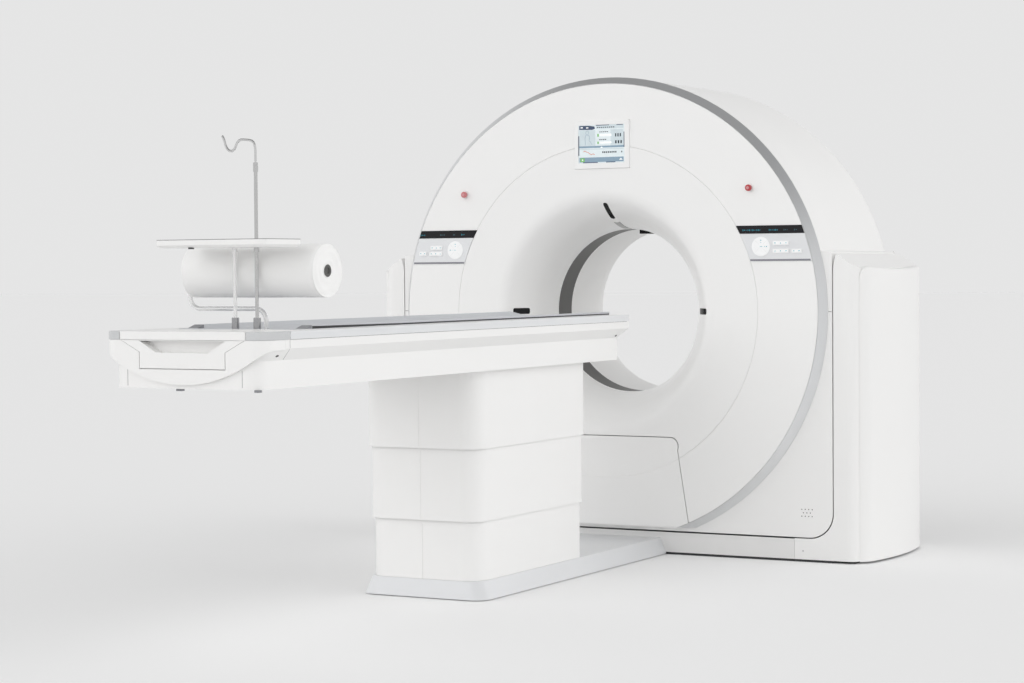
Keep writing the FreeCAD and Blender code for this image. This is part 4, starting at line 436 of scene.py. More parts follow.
# ---- the display over the bore ---------------------------
SCREEN = (-110.0, 105.0, 1637.0, 1796.0)   # its edges: x from and to, z from and to
LAYER_STEP = 0.8                           # each layer's rise over the last, in skins
FIGURE_LINE, TRACE_LINE = 1.0, 2.2         # widths of lines
glass_face = fitted_face(["monitor_screen"])


def on_screen(u, v):
    """Point of the screen at shares of its width and height, v from the top."""
    return (SCREEN[0] + u * (SCREEN[1] - SCREEN[0]), SCREEN[3] - v * (SCREEN[3] - SCREEN[2]))


def screen_line(*shares):
    """Points of the screen, for an outline or a line on it."""
    return [on_screen(u, v) for u, v in shares]


def field(u0, u1, v0, v1):
    """Rectangle between shares of the screen's width and height."""
    (x0, z1), (x1, z0) = on_screen(u0, v0), on_screen(u1, v1)
    return rectangle(x0, x1, z0, z1)


def dashes(u0, u1, v0, v1, count, share=0.62):
    """A row of blocks that stands for a line of words; share is how much of it they fill."""
    step = (u1 - u0) / count
    return [field(u0 + k * step, u0 + (k + share) * step, v0, v1) for k in range(count)]


def screen_colour(name, colour, glow=0.35):
    """A colour that shines a little by itself, behind glass."""
    return finish(name, colour, 0.25, glow=glow, mottle=0.03, mottle_scale=40, coat=0.3)


navy = screen_colour("screen_navy", (0.045, 0.07, 0.13), 0.2)
slate = screen_colour("screen_slate", (0.20, 0.29, 0.37))
mist = screen_colour("screen_mist", (0.50, 0.57, 0.60))
pale = screen_colour("screen_pale", (0.62, 0.68, 0.70))
snow = screen_colour("screen_white", (0.80, 0.82, 0.82))
ink = screen_colour("screen_ink", (0.03, 0.045, 0.06), 0.05)
green = screen_colour("screen_green", (0.16, 0.42, 0.12))
amber = screen_colour("screen_trace", (0.55, 0.20, 0.13))

layers = [   # from the glass outwards
    ("screen_panels", pale, [field(0.0, 1.0, 0.0, 1.0)]),
    ("screen_rows", mist, [field(0.02, 0.37, 0.13, 0.55), field(0.385, 0.98, 0.0, 0.10),
                           field(0.70, 0.97, 0.13, 0.55), field(0.02, 0.98, 0.62, 0.645)]),
    ("screen_bands", slate, [field(0.02, 0.98, 0.55, 0.60), field(0.02, 0.98, 0.85, 0.975)]),
    ("screen_dark_fields", navy, [
        screen_line((0.02, 0.115), (0.30, 0.125), (0.36, 0.10), (0.355, 0.04), (0.25, 0.015),
                    (0.02, 0.01)),
        field(0.385, 0.67, 0.0, 0.018), field(0.83, 0.97, 0.0, 0.018),
        field(0.0, 0.018, 0.28, 0.80), field(0.982, 1.0, 0.20, 0.60),
        field(0.10, 0.42, 0.975, 0.995), field(0.60, 0.80, 0.972, 0.992)]),
    ("screen_bars", snow, [field(0.46, 0.72, 0.24, 0.305), field(0.46, 0.72, 0.44, 0.495),
                           field(0.05, 0.10, 0.045, 0.075), field(0.17, 0.22, 0.055, 0.08),
                           screen_line((0.47, 0.60), (0.54, 0.60), (0.505, 0.572)),
                           screen_line((0.88, 0.93), (0.96, 0.93), (0.92, 0.885))]),
    ("screen_green_marks", green, [field(0.415, 0.445, 0.235, 0.31),
                                   field(0.415, 0.445, 0.44, 0.50),
                                   field(0.045, 0.135, 0.865, 0.965)]),
    ("screen_text_rows", ink, dashes(0.41, 0.80, 0.055, 0.078, 9)
     + dashes(0.46, 0.66, 0.175, 0.195, 5) + dashes(0.46, 0.62, 0.375, 0.40, 4)
     + dashes(0.52, 0.84, 0.70, 0.74, 8) + [field(0.93, 0.95, 0.70, 0.74)]
     + dashes(0.80, 0.95, 0.235, 0.32, 3, 0.5) + dashes(0.80, 0.97, 0.42, 0.50, 3, 0.55)),
]
for rank, (name, material, outlines) in enumerate(layers):
    prisms(name, outlines, glass_face, material, "gantry",
           thick=SKIN * (1 + rank * LAYER_STEP))

head = disc(*on_screen(0.195, 0.20), 7.5, 16)
sketch = []
for line in (head + head[:1],
             screen_line((0.155, 0.27), (0.145, 0.36), (0.155, 0.45), (0.15, 0.53)),
             screen_line((0.235, 0.27), (0.245, 0.34), (0.235, 0.40), (0.27, 0.45), (0.30, 0.52)),
             screen_line((0.155, 0.27), (0.235, 0.27))):
    sketch += stroke(line, FIGURE_LINE)
trace = stroke(screen_line((0.11, 0.70), (0.14, 0.675), (0.17, 0.70), (0.21, 0.715),
                           (0.245, 0.75), (0.28, 0.775), (0.32, 0.755), (0.355, 0.78)), TRACE_LINE)
key_dot = [disc(*on_screen(0.09, 0.915), 3.4, 14)]
for name, outlines, material, rise in (("screen_figure", sketch, slate, 6),
                                       ("screen_trace_line", trace, amber, 6),
                                       ("screen_key_dot", key_dot, snow, 7)):
    prisms(name, outlines, glass_face, material, "gantry", thick=SKIN * rise)

# ---- control panels --------------------------------------
teal = screen_colour("key_teal", (0.05, 0.36, 0.42), 0.25)
blue_glow = screen_colour("strip_blue", (0.015, 0.16, 0.21), 0.7)
dim_glow = screen_colour("strip_dim", (0.03, 0.075, 0.09), 0.6)
key_face = fitted_face(["keypads", "control_panels"])
strip_face = fitted_face(["display_strips"])

key_line = finish("key_lines", (0.83, 0.835, 0.84), 0.5)
PANEL_LOW, SEAM_RADIUS, DISC_RADIUS = 1220.0, 698.0, 952.0
# the dark strip along the panels' lower edge is painted shade under their proud edge
LEDGE_LOW, LEDGE_HIGH = PANEL_LOW + 0.4, PANEL_LOW + 7.5
LEDGE_FROM_SEAM, LEDGE_FROM_EDGE = 2.0, 3.6
# fields of keys on each side: away from the middle from and to, z from and to, count
KEYS = {1: ((764.0, 833.0, 1284.0, 1301.0, 3), (764.0, 833.0, 1252.0, 1269.0, 3),
            (846.0, 888.0, 1252.0, 1268.0, 2)),
        -1: ((778.0, 838.0, 1281.0, 1299.0, 3), (778.0, 844.0, 1255.0, 1273.0, 3),
             (859.0, 895.0, 1256.0, 1274.0, 2))}
KEY_EDGE = 1.0                # from the field's edge to the key's
KEY_SKIN, KEY_SINK = SKIN * 0.5, 1.2 * MM
KEY_BAR, KEY_ARROW, KEY_DOT = (3.0, 1.3), 2.6, 2.2   # icons: half sizes, size and radius
KEY_FOOT, KEY_FOOT_DROP = (2.6, 0.4), 3.4            # the line under an arrow
PAD = (713.0, 1279.0)         # middle of the round pad
PAD_ARROW, PAD_BAR = 25, 16   # its arrows and bars, away from the middle
PAD_ARROW_SIZE, PAD_BAR_HALF = 3.2, (1.6, 0.8)
PAD_BLOCKS, PAD_BLOCK_HALF = (-4.6, 0.0, 4.6), (1.4, 1.2)
PAD_CUTS, PAD_CUT_WIDTH = (11, 36), 0.7   # the lines between its quarters
# runs of small lit marks on the display strips: x from and to, count
STRIP_RUNS = {(1, "glow"): ((632.0, 668.0, 5), (672.0, 712.0, 6), (745.0, 787.0, 6)),
              (1, "dim"): ((808.0, 830.0, 3), (852.0, 868.0, 2)),
              (-1, "glow"): ((-893.0, -867.0, 4), (-684.0, -664.0, 3)),
              (-1, "dim"): ((-792.0, -766.0, 4), (-724.0, -714.0, 2))}
STRIP_LINE = 1345.5           # height of their middles
MARK_HALF, MARK_HEIGHTS = 1.3, (7.0, 4.0, 2.4, 6.0)
CROSS_HALF, CROSS_LIFT = (3.2, 0.55), 0.05
ARROW_BACK, ARROW_WIDE = 0.5, 0.8   # shares of an arrow's size


def arrow(x, z, dx, dz, size):
    """Small triangle that points along (dx, dz)."""
    back, wide = size * ARROW_BACK, size * ARROW_WIDE
    return [(x + dx * size, z + dz * size),
            (x - dx * back - dz * wide, z - dz * back + dx * wide),
            (x - dx * back + dz * wide, z - dz * back - dx * wide)]


def bar(x, z, half_wide, half_high):
    """Upright rectangle about its middle."""
    return rectangle(x - half_wide, x + half_wide, z - half_high, z + half_high)


def pad_icons(px, pz):
    """Arrows and bars of the round pad, and the three small blocks in its middle."""
    icons = []
    for dx, dz in ((0, 1), (0, -1), (1, 0), (-1, 0)):
        icons.append(arrow(px + dx * PAD_ARROW, pz + dz * PAD_ARROW, dx, dz, PAD_ARROW_SIZE))
        icons.append(bar(px + dx * PAD_BAR, pz + dz * PAD_BAR, *PAD_BAR_HALF))
    return icons + [bar(px + shift, pz, *PAD_BLOCK_HALF) for shift in PAD_BLOCKS]


def key_icon(kind, x, z, way):
    """Generic icon of a key: a bar, an arrow up or down with a foot, or a dot."""
    if kind == 0:
        return [bar(x, z, *KEY_BAR)]
    if kind == 1:
        return [arrow(x, z, 0, way, KEY_ARROW), bar(x, z - KEY_FOOT_DROP, *KEY_FOOT)]
    return [disc(x, z, KEY_DOT, 14)]


for side, label in SIDES:
    px, pz = side * PAD[0], PAD[1]
    icons, lines, plates = pad_icons(px, pz), [], []
    for turn in (45, 135, 225, 315):
        c, s = math.cos(math.radians(turn)), math.sin(math.radians(turn))
        lines += stroke([(px + cut * c, pz + cut * s) for cut in PAD_CUTS], PAD_CUT_WIDTH)
    for row, (x0, x1, z0, z1, count) in enumerate(KEYS[side]):
        pitch_x = (x1 - x0 + 2 * KEY_EDGE) / count
        ends = sorted((side * x0, side * x1))
        plates.append(rectangle(ends[0] + KEY_EDGE, ends[1] - KEY_EDGE, z0 + KEY_EDGE,
                                z1 - KEY_EDGE))
        for k in range(count):
            icons += key_icon((row + k) % 3, side * (x0 + pitch_x * (k + 0.5) - KEY_EDGE),
                              (z0 + z1) / 2, 1 if row else -1)
    prisms("key_plates_" + label, plates, lambda x, z, at=key_face(px, pz): at, membrane,
           "gantry", thick=KEY_SKIN, sink=KEY_SINK)
    prisms("key_icons_" + label, icons, lambda x, z, at=key_face(px, pz): at, teal, "gantry")
    prisms("key_lines_" + label, lines, key_face, key_line, "gantry")
    ledge = [(side * (math.sqrt(SEAM_RADIUS ** 2 - (z - ISO_MM) ** 2) + LEDGE_FROM_SEAM), z)
             for z in (LEDGE_LOW, LEDGE_HIGH)]
    ledge += [(side * (math.sqrt(DISC_RADIUS ** 2 - (z - ISO_MM) ** 2) - LEDGE_FROM_EDGE), z)
              for z in (LEDGE_HIGH, LEDGE_LOW)]
    # dark strip: painted shade under the panel's proud lower edge
    prisms("panel_ledge_shade_" + label, [ledge], key_face, ledge_shade, "gantry")

    for kind, shine in (("glow", blue_glow), ("dim", dim_glow)):
        marks = []
        for start, end, count in STRIP_RUNS[side, kind]:
            for k in range(count):
                x = start + (end - start) * (k + 0.5) / count
                marks.append(bar(x, STRIP_LINE, MARK_HALF, MARK_HEIGHTS[k % 4] / 2))
                if k % 3 == 1:
                    marks.append(bar(x, STRIP_LINE + CROSS_LIFT, *CROSS_HALF))
        prisms(f"strip_{kind}_{label}", marks, strip_face, shine, "gantry")

# ---- marks on the gantry's body --------------------------
seam_dark = finish("seam_shadow", (0.06, 0.06, 0.06), 0.7)
screw_steel = finish("small_screws", (0.55, 0.55, 0.56), 0.35, metallic=0.8)
body_face = fitted_face(["body_shell"])
tower_face = fitted_face(["tower_shell_right", "tower_shell_left"])
HOLES = (866.0, 186.0)        # the lowest hole of the speaker
HOLE_PITCH, HOLE_SHIFT, HOLE_RISE, HOLE_RADIUS = 15.0, 7.0, 14.0, 2.3
SEAM_MIDDLE, SEAM_HALF = 990.4, (7.4, 0.9)
SCREW_PLACE, SCREW_RADIUS = (871.0, 45.0), 3.4
# the speaker's holes are not cut: dark discs stand for them, painted shade in the holes
holes = [disc(HOLES[0] + HOLE_PITCH * k + HOLE_SHIFT * (row % 2), HOLES[1] + HOLE_RISE * row,
              HOLE_RADIUS, 12)
         for row in range(3) for k in range(4 - row % 2)]
prisms("speaker_holes", holes, body_face, seam_dark, "gantry")
prisms("body_seam_marks", [bar(side * SEAM_MIDDLE, ISO_MM, *SEAM_HALF) for side in (1, -1)],
       body_face, seam_dark, "gantry")
prisms("tower_screws", [disc(side * SCREW_PLACE[0], SCREW_PLACE[1], SCREW_RADIUS, 14)
                        for side in (-1, 1)], tower_face, screw_steel, "base")

# ---- side covers of the towers ---------------------------
COVER_BASE, COVER_BULGE, COVER_MIDDLE = 1102.5, 1171.7, 84.988
COVER_CHORD, COVER_REACH = 285.012, 338.012
COVER_BOW, COVER_END_BOW = 1350.0, 80.0
COVER_CORNER, COVER_EDGE, COVER_LOW = 57.0, 12.0, 9.0
COVER_TOP, COVER_FALL = 1205.0, 0.27   # top edge at the tower, and its fall away from it
COVER_THICK = 3.5
EDGE_LEAST, EDGE_RUN = 0.15, 30   # share of the rounding at the ends, and where it is whole
END_STEPS, SIDE_STEPS, RISE_STEPS, EDGE_STEPS = 14, 20, 10, 6


def cover_plan():
    """Right cover seen from above: (x, y, direction of the normal) from its front end round."""
    shoulder = COVER_BULGE - COVER_BOW + math.sqrt(COVER_BOW ** 2 - COVER_CHORD ** 2)
    start = Vector((COVER_BASE, -COVER_REACH))
    stop = Vector((shoulder, -COVER_CHORD))
    chord = stop - start
    depth = math.sqrt(COVER_END_BOW ** 2 - (chord.length / 2) ** 2)
    centre = (start + stop) / 2 + Vector((-chord.y, chord.x)).normalized() * depth
    first, last = (math.atan2(*(p - centre).yx) for p in (start, stop))
    plan = []
    for k in range(END_STEPS + 1):
        a = first + (last - first) * k / END_STEPS
        plan.append((centre.x + COVER_END_BOW * math.cos(a),
                     centre.y + COVER_END_BOW * math.sin(a), a))
    swing = math.asin(COVER_CHORD / COVER_BOW)
    for k in range(1, SIDE_STEPS + 1):
        a = -swing + swing * k / SIDE_STEPS
        plan.append((COVER_BULGE - COVER_BOW + COVER_BOW * math.cos(a),
                     COVER_BOW * math.sin(a), a))
    plan += [(x, -y, -a) for x, y, a in reversed(plan[:-1])]
    return [(x, y + COVER_MIDDLE, a) for x, y, a in plan]


def cover_grid(side):
    """Points and normals of a side's cover: upright columns, bent over its rounded top edge."""
    plan = cover_plan()
    run = [0.0]
    for (x0, y0, _), (x1, y1, _) in zip(plan, plan[1:]):
        run.append(run[-1] + math.hypot(x1 - x0, y1 - y0))
    columns = []
    for (x, y, a), gone in zip(plan, run):
        near = min(gone, run[-1] - gone)
        top = COVER_TOP - COVER_FALL * (x - COVER_BASE)
        if near < COVER_CORNER:
            top -= COVER_CORNER - math.sqrt(COVER_CORNER ** 2 - (COVER_CORNER - near) ** 2)
        edge = COVER_EDGE * min(1.0, EDGE_LEAST + near / EDGE_RUN)
        column = [(x, y, COVER_LOW + (top - edge - COVER_LOW) * (k / RISE_STEPS), 0.0)
                  for k in range(RISE_STEPS + 1)]
        for k in range(1, EDGE_STEPS + 1):
            b = math.radians(90 * k / EDGE_STEPS)
            inset = edge * (1 - math.cos(b))
            column.append((max(COVER_BASE, x - inset * math.cos(a)), y - inset * math.sin(a),
                           top - edge + edge * math.sin(b), b))
        column.append((COVER_BASE, y - edge * math.sin(a), top, math.pi / 2))
        columns.append([(Vector((side * px, py, pz)) * MM,
                         Vector((side * math.cos(a) * math.cos(b), math.sin(a) * math.cos(b),
                                 math.sin(b)))) for px, py, pz, b in column])
    return [list(row) for row in zip(*columns)]


for side, label in SIDES:
    cover = shell("tower_cover_" + label, cover_grid(side), COVER_THICK * MM, white, "base")
    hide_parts("tower_side_cover_" + label)

# ---- laser windows in the bore's mouth -------------------
channel_grey = finish("channel_shadow", (0.46, 0.46, 0.45), 0.4)
PLATE_STEPS, PLATE_COLUMNS = 24, 3   # along a plate, and out from its middle
PLATE_BACK, PLATE_END = 0.8, 0.4     # how deep it goes in, and half its width at its ends


def mouth_place(turn, around, shift, lift):
    """Point and normal on the bore's mouth: turn out of the bore, angle around it, both in
    degrees, and a shift sideways in millimetres."""
    bow = math.radians(min(turn, LIP_TURN))
    radius = MOUTH_BORE + MOUTH_BOW * (1 - math.cos(bow))
    depth = MOUTH_START + MOUTH_BOW * math.sin(bow)
    if turn > LIP_TURN:
        radius += LIP_BOW * (math.cos(bow) - math.cos(math.radians(turn)))
        depth += LIP_BOW * (math.sin(math.radians(turn)) - math.sin(bow))
    bow, place = math.radians(turn), math.radians(around) - shift / radius
    normal = Vector((-math.cos(bow) * math.cos(place), -math.sin(bow),
                     -math.cos(bow) * math.sin(place)))
    ideal = Vector((radius * math.cos(place), -depth, radius * math.sin(place))) * MM
    ideal.z += ISO
    return ideal + normal * lift * MM, normal


def mouth_plate(name, around, turns, shifts, corner, lift, material):
    """Curved plate with round corners on the mouth's surface, between two turns and two shifts,
    lift millimetres proud of it."""
    start, stop = turns
    step = (stop - start) / PLATE_STEPS
    length = [0.0]
    for k in range(PLATE_STEPS):
        bow = LIP_BOW if start + step * (k + 0.5) > LIP_TURN else MOUTH_BOW
        length.append(length[-1] + math.radians(step) * bow)
    middle, half_width = (shifts[0] + shifts[1]) / 2, (shifts[1] - shifts[0]) / 2
    grid = []
    for k, gone in enumerate(length):
        near = min(gone, length[-1] - gone)
        wide = half_width
        if near < corner:
            wide += math.sqrt(corner ** 2 - (corner - near) ** 2) - corner
        wide = max(wide, PLATE_END)
        grid.append([mouth_place(start + step * k, around, middle + wide * j / PLATE_COLUMNS,
                                 lift) for j in range(-PLATE_COLUMNS, PLATE_COLUMNS + 1)])
    return shell(name, grid, (lift + PLATE_BACK) * MM, material, "gantry")


# the channel under the top window and the line on its right side are grey for painted shade in the
# recess
for name, around, turns, shifts, corner, lift, material, slot in (
        ("top_window_frame", 90, (22.5, 54), (-18.5, 18.5), 17.0, 0.9, white_front,
         "white_plastic"),
        ("top_window_channel", 90, (3, 24), (-14.5, 14.5), 8.0, 0.4, channel_grey,
         "grey_plastic"),
        ("top_window_channel_edge", 90, (3, 25), (11.5, 14.5), 0.5, 0.7, grey, "grey_plastic"),
        ("top_window_lens", 90, (28.5, 49), (-10.5, 10.5), 9.5, 1.3, dark_glass, "dark_window"),
        ("left_window_lens", 180, (31, 44.3), (-12.5, 12.5), 6.0, 0.5, dark_glass, "dark_window"),
        ("right_window_lens", 0, (34, 56), (-12.5, 12.5), 6.0, 0.5, dark_glass, "dark_window")):
    mouth_plate(name, around, turns, shifts, corner, lift, material)
LENS_LOW, LENS_HALF, LENS_ARC = 1344.5, 24.0, 349.5   # the lens at the top of the tunnel
LENS_FRONT, LENS_LONG = 0.080, 0.110                  # in metres
lens = [(-LENS_HALF, LENS_LOW), (LENS_HALF, LENS_LOW)]
lens += [(LENS_HALF * share, ISO_MM + math.sqrt(LENS_ARC ** 2 - (LENS_HALF * share) ** 2))
         for share in (1.0, 0.5, 0.0, -0.5, -1.0)]
prisms("tunnel_lens", [lens], lambda x, z: LENS_FRONT, dark_glass, "gantry",
       thick=0.0, sink=LENS_LONG)

# ---- bands, slots and seams of the table -----------------
deck_tree = skin_of("deck_body", "side_rails", "foot_cap", "deck_top_frame")
foot_face = fitted_face(["foot_cap", "deck_body", "foot_panel"], back=-4.0)


def side_face(tree, side):
    """X of a side at (y, z), met from outside."""
    return lambda y, z: landing(tree, (side * 0.6, y * MM, z * MM), (-side, 0, 0)).x


joint_dark = finish("joint_shadow", (0.16, 0.16, 0.165), 0.6)
# outlines on the table's sides, (y, z) in millimetres
# the first outline is a near-black strip along the cradle's side: painted shadow in the gap under
# its raised edge
GAP_SHADOW_BAND = [(-2896.0, 1010.6), (-746.0, 1010.6), (-746.0, 1015.0), (-2350.0, 1015.4),
             (-2896.0, 1019.0)]
# a grey wedge at the foot end of the cradle's raised edge: painted shade on that edge's end
RIM_END_SHADE = [(-2936.0, 1010.4), (-2898.0, 1010.4), (-2898.0, 1021.6)]
DECK_JOINT = rectangle(-3137.0, -745.0, 983.0, 984.0)
CAP_JOINTS = [rectangle(-3139.8, -3138.4, 957.0, 983.0),
              rectangle(-3139.8, -3138.4, 920.6, 955.2)]
SLOTS, SLOT_HALF, SLOT_SQUEEZE = ((-3185.0, 934.0), (-801.0, 928.0)), 3.4, 2.4
CRADLE_SIDE, RIM_SIDE, RIM_DEEP = 0.230, 0.2295, 0.038      # in metres
# outlines on its foot end, (x, z) in millimetres
FOOT_SEAMS = [rectangle(x - 0.7, x + 0.7, 839.0, 891.0) for x in (-218.0, 218.0)]
FOOT_PADS = [rectangle(-36.0, -17.0, 824.5, 832.3), rectangle(258.0, 274.0, 824.5, 832.3)]
FOOT_PAD_FRONT, FOOT_PAD_DEEP = -3.262, 0.018               # in metres
for side, label in SIDES:
    deck_side = side_face(deck_tree, side)
    # near-black strip: painted shadow in the gap under the cradle's raised edge
    prisms("cradle_gap_shadow_band_" + label, [GAP_SHADOW_BAND], lambda y, z, at=side * CRADLE_SIDE: at,
           cradle_gap_shadow, "cradle", across="y")
    # grey wedge: painted shade on the end of the raised edge
    prisms("cradle_rim_end_shade_" + label, [RIM_END_SHADE], lambda y, z, at=side * RIM_SIDE: at, grey,
           "cradle", thick=0.0, sink=RIM_DEEP, across="y")
    prisms("deck_joint_" + label, [DECK_JOINT], deck_side, joint_dark, "table_top",
           across="y")
    prisms("foot_cap_joint_" + label, CAP_JOINTS, deck_side, joint_dark, "table_top",
           across="y")
    # the slots are not cut: dark ovals stand for them, painted shade in the slots
    prisms("deck_slots_" + label, [disc(y, z, SLOT_HALF, 20, SLOT_SQUEEZE) for y, z in SLOTS],
           deck_side, seam_dark, "table_top", across="y")
prisms("foot_seams", FOOT_SEAMS, foot_face, joint_dark, "table_top")
prisms("foot_pads", FOOT_PADS, lambda x, z: FOOT_PAD_FRONT, grey, "table_top",
       thick=0.0, sink=FOOT_PAD_DEEP)

# ---- tray ------------------------------------------------
TRAY_HALF, TRAY_CORNER, TRAY_TOP = 214.0, 20.0, 1297.0
TRAY_FRONT, TRAY_BACK = -3130.02, -2920.02
RIM_RADIUS, RIM_THICK = TRAY_CORNER + 0.25, 0.7   # of the line round the rim
RIM_LOW, RIM_HIGH = TRAY_TOP - 1.9, TRAY_TOP - 0.2
CORNER_STEPS = 8
LATCH = rectangle(-84.0, -68.0, 1266.6, 1271.4)
LATCH_FRONT, LATCH_DEEP = -3.1255, 0.010   # in metres
# all the way round: centre of the corner, and direction of the normal
tray_path = []
for cx, cy, first in ((TRAY_HALF - TRAY_CORNER, TRAY_BACK - TRAY_CORNER, 0),
                      (TRAY_CORNER - TRAY_HALF, TRAY_BACK - TRAY_CORNER, 90),
                      (TRAY_CORNER - TRAY_HALF, TRAY_FRONT + TRAY_CORNER, 180),
                      (TRAY_HALF - TRAY_CORNER, TRAY_FRONT + TRAY_CORNER, 270)):
    tray_path += [(cx, cy, math.radians(first + 90 * k / CORNER_STEPS))
                  for k in range(CORNER_STEPS + 1)]
tray_path.append(tray_path[0])
tray_rim = [[(Vector((cx + RIM_RADIUS * math.cos(a), cy + RIM_RADIUS * math.sin(a), z)) * MM,
              Vector((math.cos(a), math.sin(a), 0))) for cx, cy, a in tray_path]
            for z in (RIM_LOW, RIM_HIGH)]
shell("tray_rim_line", tray_rim, RIM_THICK * MM, joint_dark, "cradle")
prisms("tray_latch", [LATCH], lambda x, z: LATCH_FRONT, seam_dark, "cradle",
       thick=0.0, sink=LATCH_DEEP)


# ---- small turned pieces ---------------------------------
def lathe(name, profile, centre, axis, material, body, steps=40):
    """Turned closed piece: profile is (distance along the axis, radius) in millimetres."""
    axis = Vector(axis).normalized()
    side = axis.orthogonal().normalized()
    other = axis.cross(side)
    vertices, faces = [], []
    for along, radius in profile:
        for k in range(steps):
            a = 2 * math.pi * k / steps
            vertices.append(Vector(centre) + axis * along * MM
                            + (side * math.cos(a) + other * math.sin(a)) * radius * MM)
    for row in range(len(profile) - 1):
        for k in range(steps):
            j = (k + 1) % steps
            faces.append([row * steps + k, row * steps + j, (row + 1) * steps + j,
                          (row + 1) * steps + k])
    faces.append(list(reversed(range(steps))))
    faces.append([(len(profile) - 1) * steps + k for k in range(steps)])
    made = outward(piece(name, vertices, faces, material, body, smooth=True))
    made.data.set_sharp_from_angle(angle=SHARP_TURNED)
    return made


SLEEVE = [(0.2, 12.2), (35.2, 12.2), (36.3, 11.0)]
SLEEVE_PLACES, SLEEVE_Y, SLEEVE_LOW = ((-34.0, "left"), (51.0, "right")), -2943.02, 1010.0
socket_steel = finish("socket_steel", (0.42, 0.42, 0.43), 0.14, metallic=1.0, mottle=0.02,
                      **upright_grain)
for x, label in SLEEVE_PLACES:
    lathe("tray_socket_sleeve_" + label, SLEEVE, (x * MM, SLEEVE_Y * MM, SLEEVE_LOW * MM),
          (0, 0, 1), socket_steel, "cradle")
STOP_RING, STOP_TURN = 831.9, math.radians(37.21)    # place of the buttons about the bore axis
# pale disc on the middle of each red button: a painted highlight
STOP_HIGHLIGHT = [(-0.5, 6.5), (0.35, 6.3), (0.6, 5.2)]
stop_highlight = finish("stop_painted_highlight", (0.66, 0.30, 0.31), 0.35, coat=0.2, mottle=0.03)
for side, label in SIDES:
    x, z = side * STOP_RING * math.cos(STOP_TURN), ISO_MM + STOP_RING * math.sin(STOP_TURN)
    front = fitted_face(["emergency_stop_" + label])(x, z)
    lathe("stop_painted_highlight_" + label, STOP_HIGHLIGHT, (x * MM, front, z * MM), (0, -1, 0), stop_highlight,
          "stop_" + label, steps=24)

# ---- paper roll ------------------------------------------
ROLL = Vector((0, -2.845, 1.195))   # its middle, and its sizes, in metres
ROLL_HALF, ROLL_RADIUS, ROLL_BORE = 0.259, 0.087, 0.017
ROLL_INNER = ROLL_BORE + 0.0002
AROUND, ALONG, RINGS = 144, 26, 66
WRAPS = 16                    # turns that can be told apart on the ends
GROOVE_DEEP, GROOVE_SHARE = 0.0009, 0.22
SKIN_BACK, END_BACK = 0.0006, 0.0016   # how far the waves stay inside the plain roll
TAIL_RISE, TAIL_PLACE, TAIL_FALL = 0.0011, 0.30, 6   # the loose end's step, place and slope
# height of each wave, and its turns around and along
SKIN_WAVES = ((0.00022, 3, 11), (0.00015, 7, -23))


def skin_radius(x, a):
    """Radius of the roll at x and angle a: its last wrap ends in a step, and it isn't smooth."""
    tail = (a / (2 * math.pi) + TAIL_PLACE) % 1.0
    wave = sum(high * math.sin(around * a + along * x) for high, around, along in SKIN_WAVES)
    return ROLL_RADIUS - SKIN_BACK - TAIL_RISE * (1 - tail) ** TAIL_FALL + wave


def end_place(side, a, r):
    """X of an end at angle a and radius r: grooves between the wraps, which stand unevenly."""
    turn = (r - ROLL_BORE) / (ROLL_RADIUS - ROLL_BORE) * WRAPS
    phase = (turn - a / (2 * math.pi)) % 1.0
    groove = GROOVE_DEEP * max(0.0, 1 - abs(phase - 0.5) / GROOVE_SHARE)
    drift = 0.0008 * math.sin(turn * 0.9 + side) + 0.0006 * math.sin(2 * a + turn * 0.4)
    return side * (ROLL_HALF - END_BACK - groove - drift)


def roll_mesh():
    """Wound roll: rings of points out over one end, along the skin and in over the other end."""
    vertices, faces = [], []

    def ring(place_at):
        for k in range(AROUND):
            a = 2 * math.pi * k / AROUND
            x, r = place_at(a)
            vertices.append((x, ROLL.y + r * math.cos(a), ROLL.z + r * math.sin(a)))

    def end_ring(side, share):
        def place_at(a):
            r = ROLL_INNER + (skin_radius(side * ROLL_HALF, a) - ROLL_INNER) * share
            return end_place(side, a, r), r
        ring(place_at)

    for k in range(RINGS + 1):
        end_ring(-1, k / RINGS)
    for k in range(1, ALONG):
        x = -ROLL_HALF + 2 * ROLL_HALF * k / ALONG
        ring(lambda a: (x, skin_radius(x, a)))
    for k in range(RINGS + 1):
        end_ring(1, 1 - k / RINGS)
    starts = list(range(0, len(vertices), AROUND))
    for a, b in zip(starts, starts[1:] + starts[:1]):
        for k in range(AROUND):
            j = (k + 1) % AROUND
            faces.append([a + k, a + j, b + j, b + k])
    return vertices, faces


vertices, faces = roll_mesh()
roll_piece = piece("wound_paper_roll", vertices, faces, paper, "roll", smooth=True)
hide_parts("paper_roll")

# dark cup on the roll's open end: the core's own rim, and a disc that closes the hole a few
# millimetres in, painted shade of the hole
CORE_END = [(-3.0, 16.5), (3.2, 20.0), (3.9, 19.4), (3.9, 11.0), (0.2, 9.0), (0.2, 0.8)]
CORE_X = 0.2552               # in metres
core_and_hole_shade = finish("roll_core_and_hole_shade", (0.11, 0.11, 0.105), 0.75, mottle=0.15, mottle_scale=60)
lathe("roll_core_end", CORE_END, (CORE_X, ROLL.y, ROLL.z), (1, 0, 0), core_and_hole_shade, "cradle")


# ---- floor and light -------------------------------------
def seen_rays(tree):
    """1 for rays that show a surface (camera, mirror, glass), 0 for rays that light the object."""
    link = tree.links.new
    path = node(tree, "ShaderNodeLightPath")
    total = path.outputs["Is Camera Ray"]
    for kind in ("Is Glossy Ray", "Is Transmission Ray"):
        both = node(tree, "ShaderNodeMath", operation="ADD", use_clamp=True)
        link(total, both.inputs[0])
        link(path.outputs[kind], both.inputs[1])
        total = both.outputs[0]
    return total


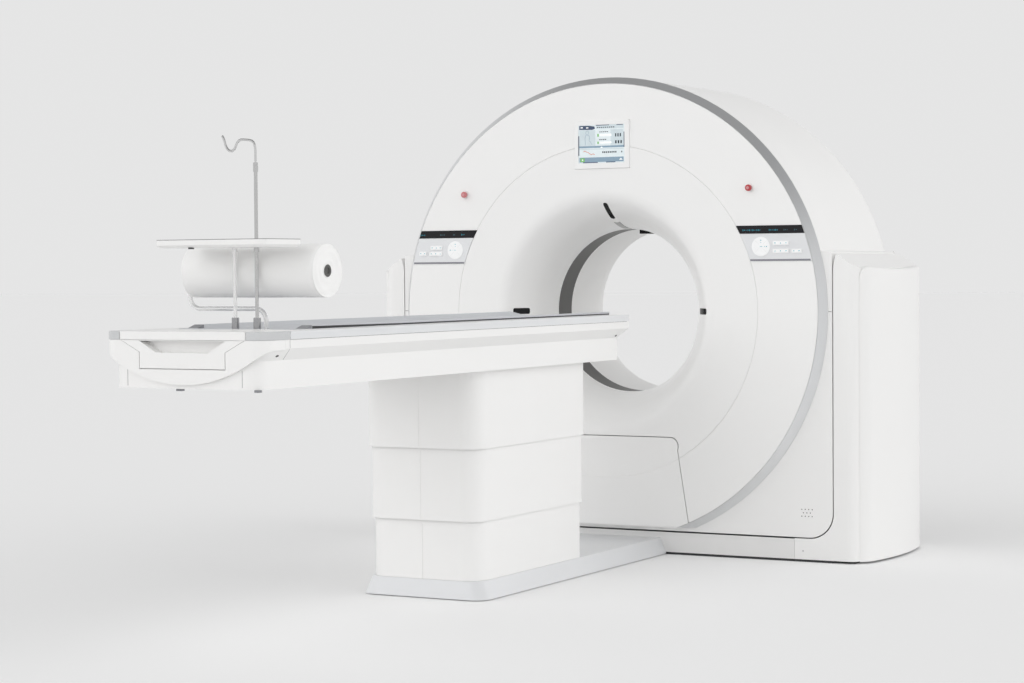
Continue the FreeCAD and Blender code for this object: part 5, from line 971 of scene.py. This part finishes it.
floor_material = bpy.data.materials.new("floor_paper")
floor_material.use_nodes = True
floor_tree = floor_material.node_tree
floor_shader = floor_tree.nodes["Principled BSDF"]
floor_shader.inputs["Base Color"].default_value = FLOOR_COLOUR
floor_shader.inputs["Roughness"].default_value = 1.0
floor_shader.inputs["Specular IOR Level"].default_value = 0.0
floor_shader.inputs["Emission Color"].default_value = (1.0, 1.0, 1.0, 1.0)
lift = node(floor_tree, "ShaderNodeMath", {1: FLOOR_LIFT}, operation="MULTIPLY")
floor_tree.links.new(seen_rays(floor_tree), lift.inputs[0])
floor_tree.links.new(lift.outputs[0], floor_shader.inputs["Emission Strength"])
floor_mesh = bpy.data.meshes.new("floor")
floor_mesh.from_pydata([(x, y, 0) for x, y in rectangle(-FLOOR_HALF, FLOOR_HALF, -FLOOR_HALF,
                                                        FLOOR_HALF)], [], [(0, 1, 2, 3)])
floor_mesh.materials.append(floor_material)
floor = bpy.data.objects.new("floor", floor_mesh)
bpy.context.scene.collection.objects.link(floor)

world = bpy.data.worlds.new("studio")
bpy.context.scene.world = world
world.use_nodes = True
tree = world.node_tree
link = tree.links.new
background = tree.nodes["Background"]
background.inputs["Color"].default_value = (1.0, 1.0, 1.0, 1.0)
sky_way = node(tree, "ShaderNodeTexCoord").outputs["Generated"]


def lobe(towards, low, high, start, gain):
    """Radiance that changes from start to start + gain as directions close in on one."""
    aim = node(tree, "ShaderNodeVectorMath", {1: Vector(towards).normalized()},
               operation="DOT_PRODUCT")
    link(sky_way, aim.inputs[0])
    made = node(tree, "ShaderNodeMapRange",
                {"From Min": low, "From Max": high, "To Min": start, "To Max": start + gain},
                interpolation_type="SMOOTHSTEP")
    link(aim.outputs["Value"], made.inputs["Value"])
    return made.outputs[0]


light = lobe(*SOFT_LIGHT[0])
for settings in SOFT_LIGHT[1:]:
    both = node(tree, "ShaderNodeMath", operation="ADD")
    link(light, both.inputs[0])
    link(lobe(*settings), both.inputs[1])
    light = both.outputs[0]
shown = node(tree, "ShaderNodeMix", data_type="FLOAT")
link(seen_rays(tree), shown.inputs["Factor"])
link(light, shown.inputs["A"])
link(lobe(*BACKDROP), shown.inputs["B"])
link(shown.outputs["Result"], background.inputs["Strength"])

bpy.context.scene.view_settings.view_transform = "Standard"
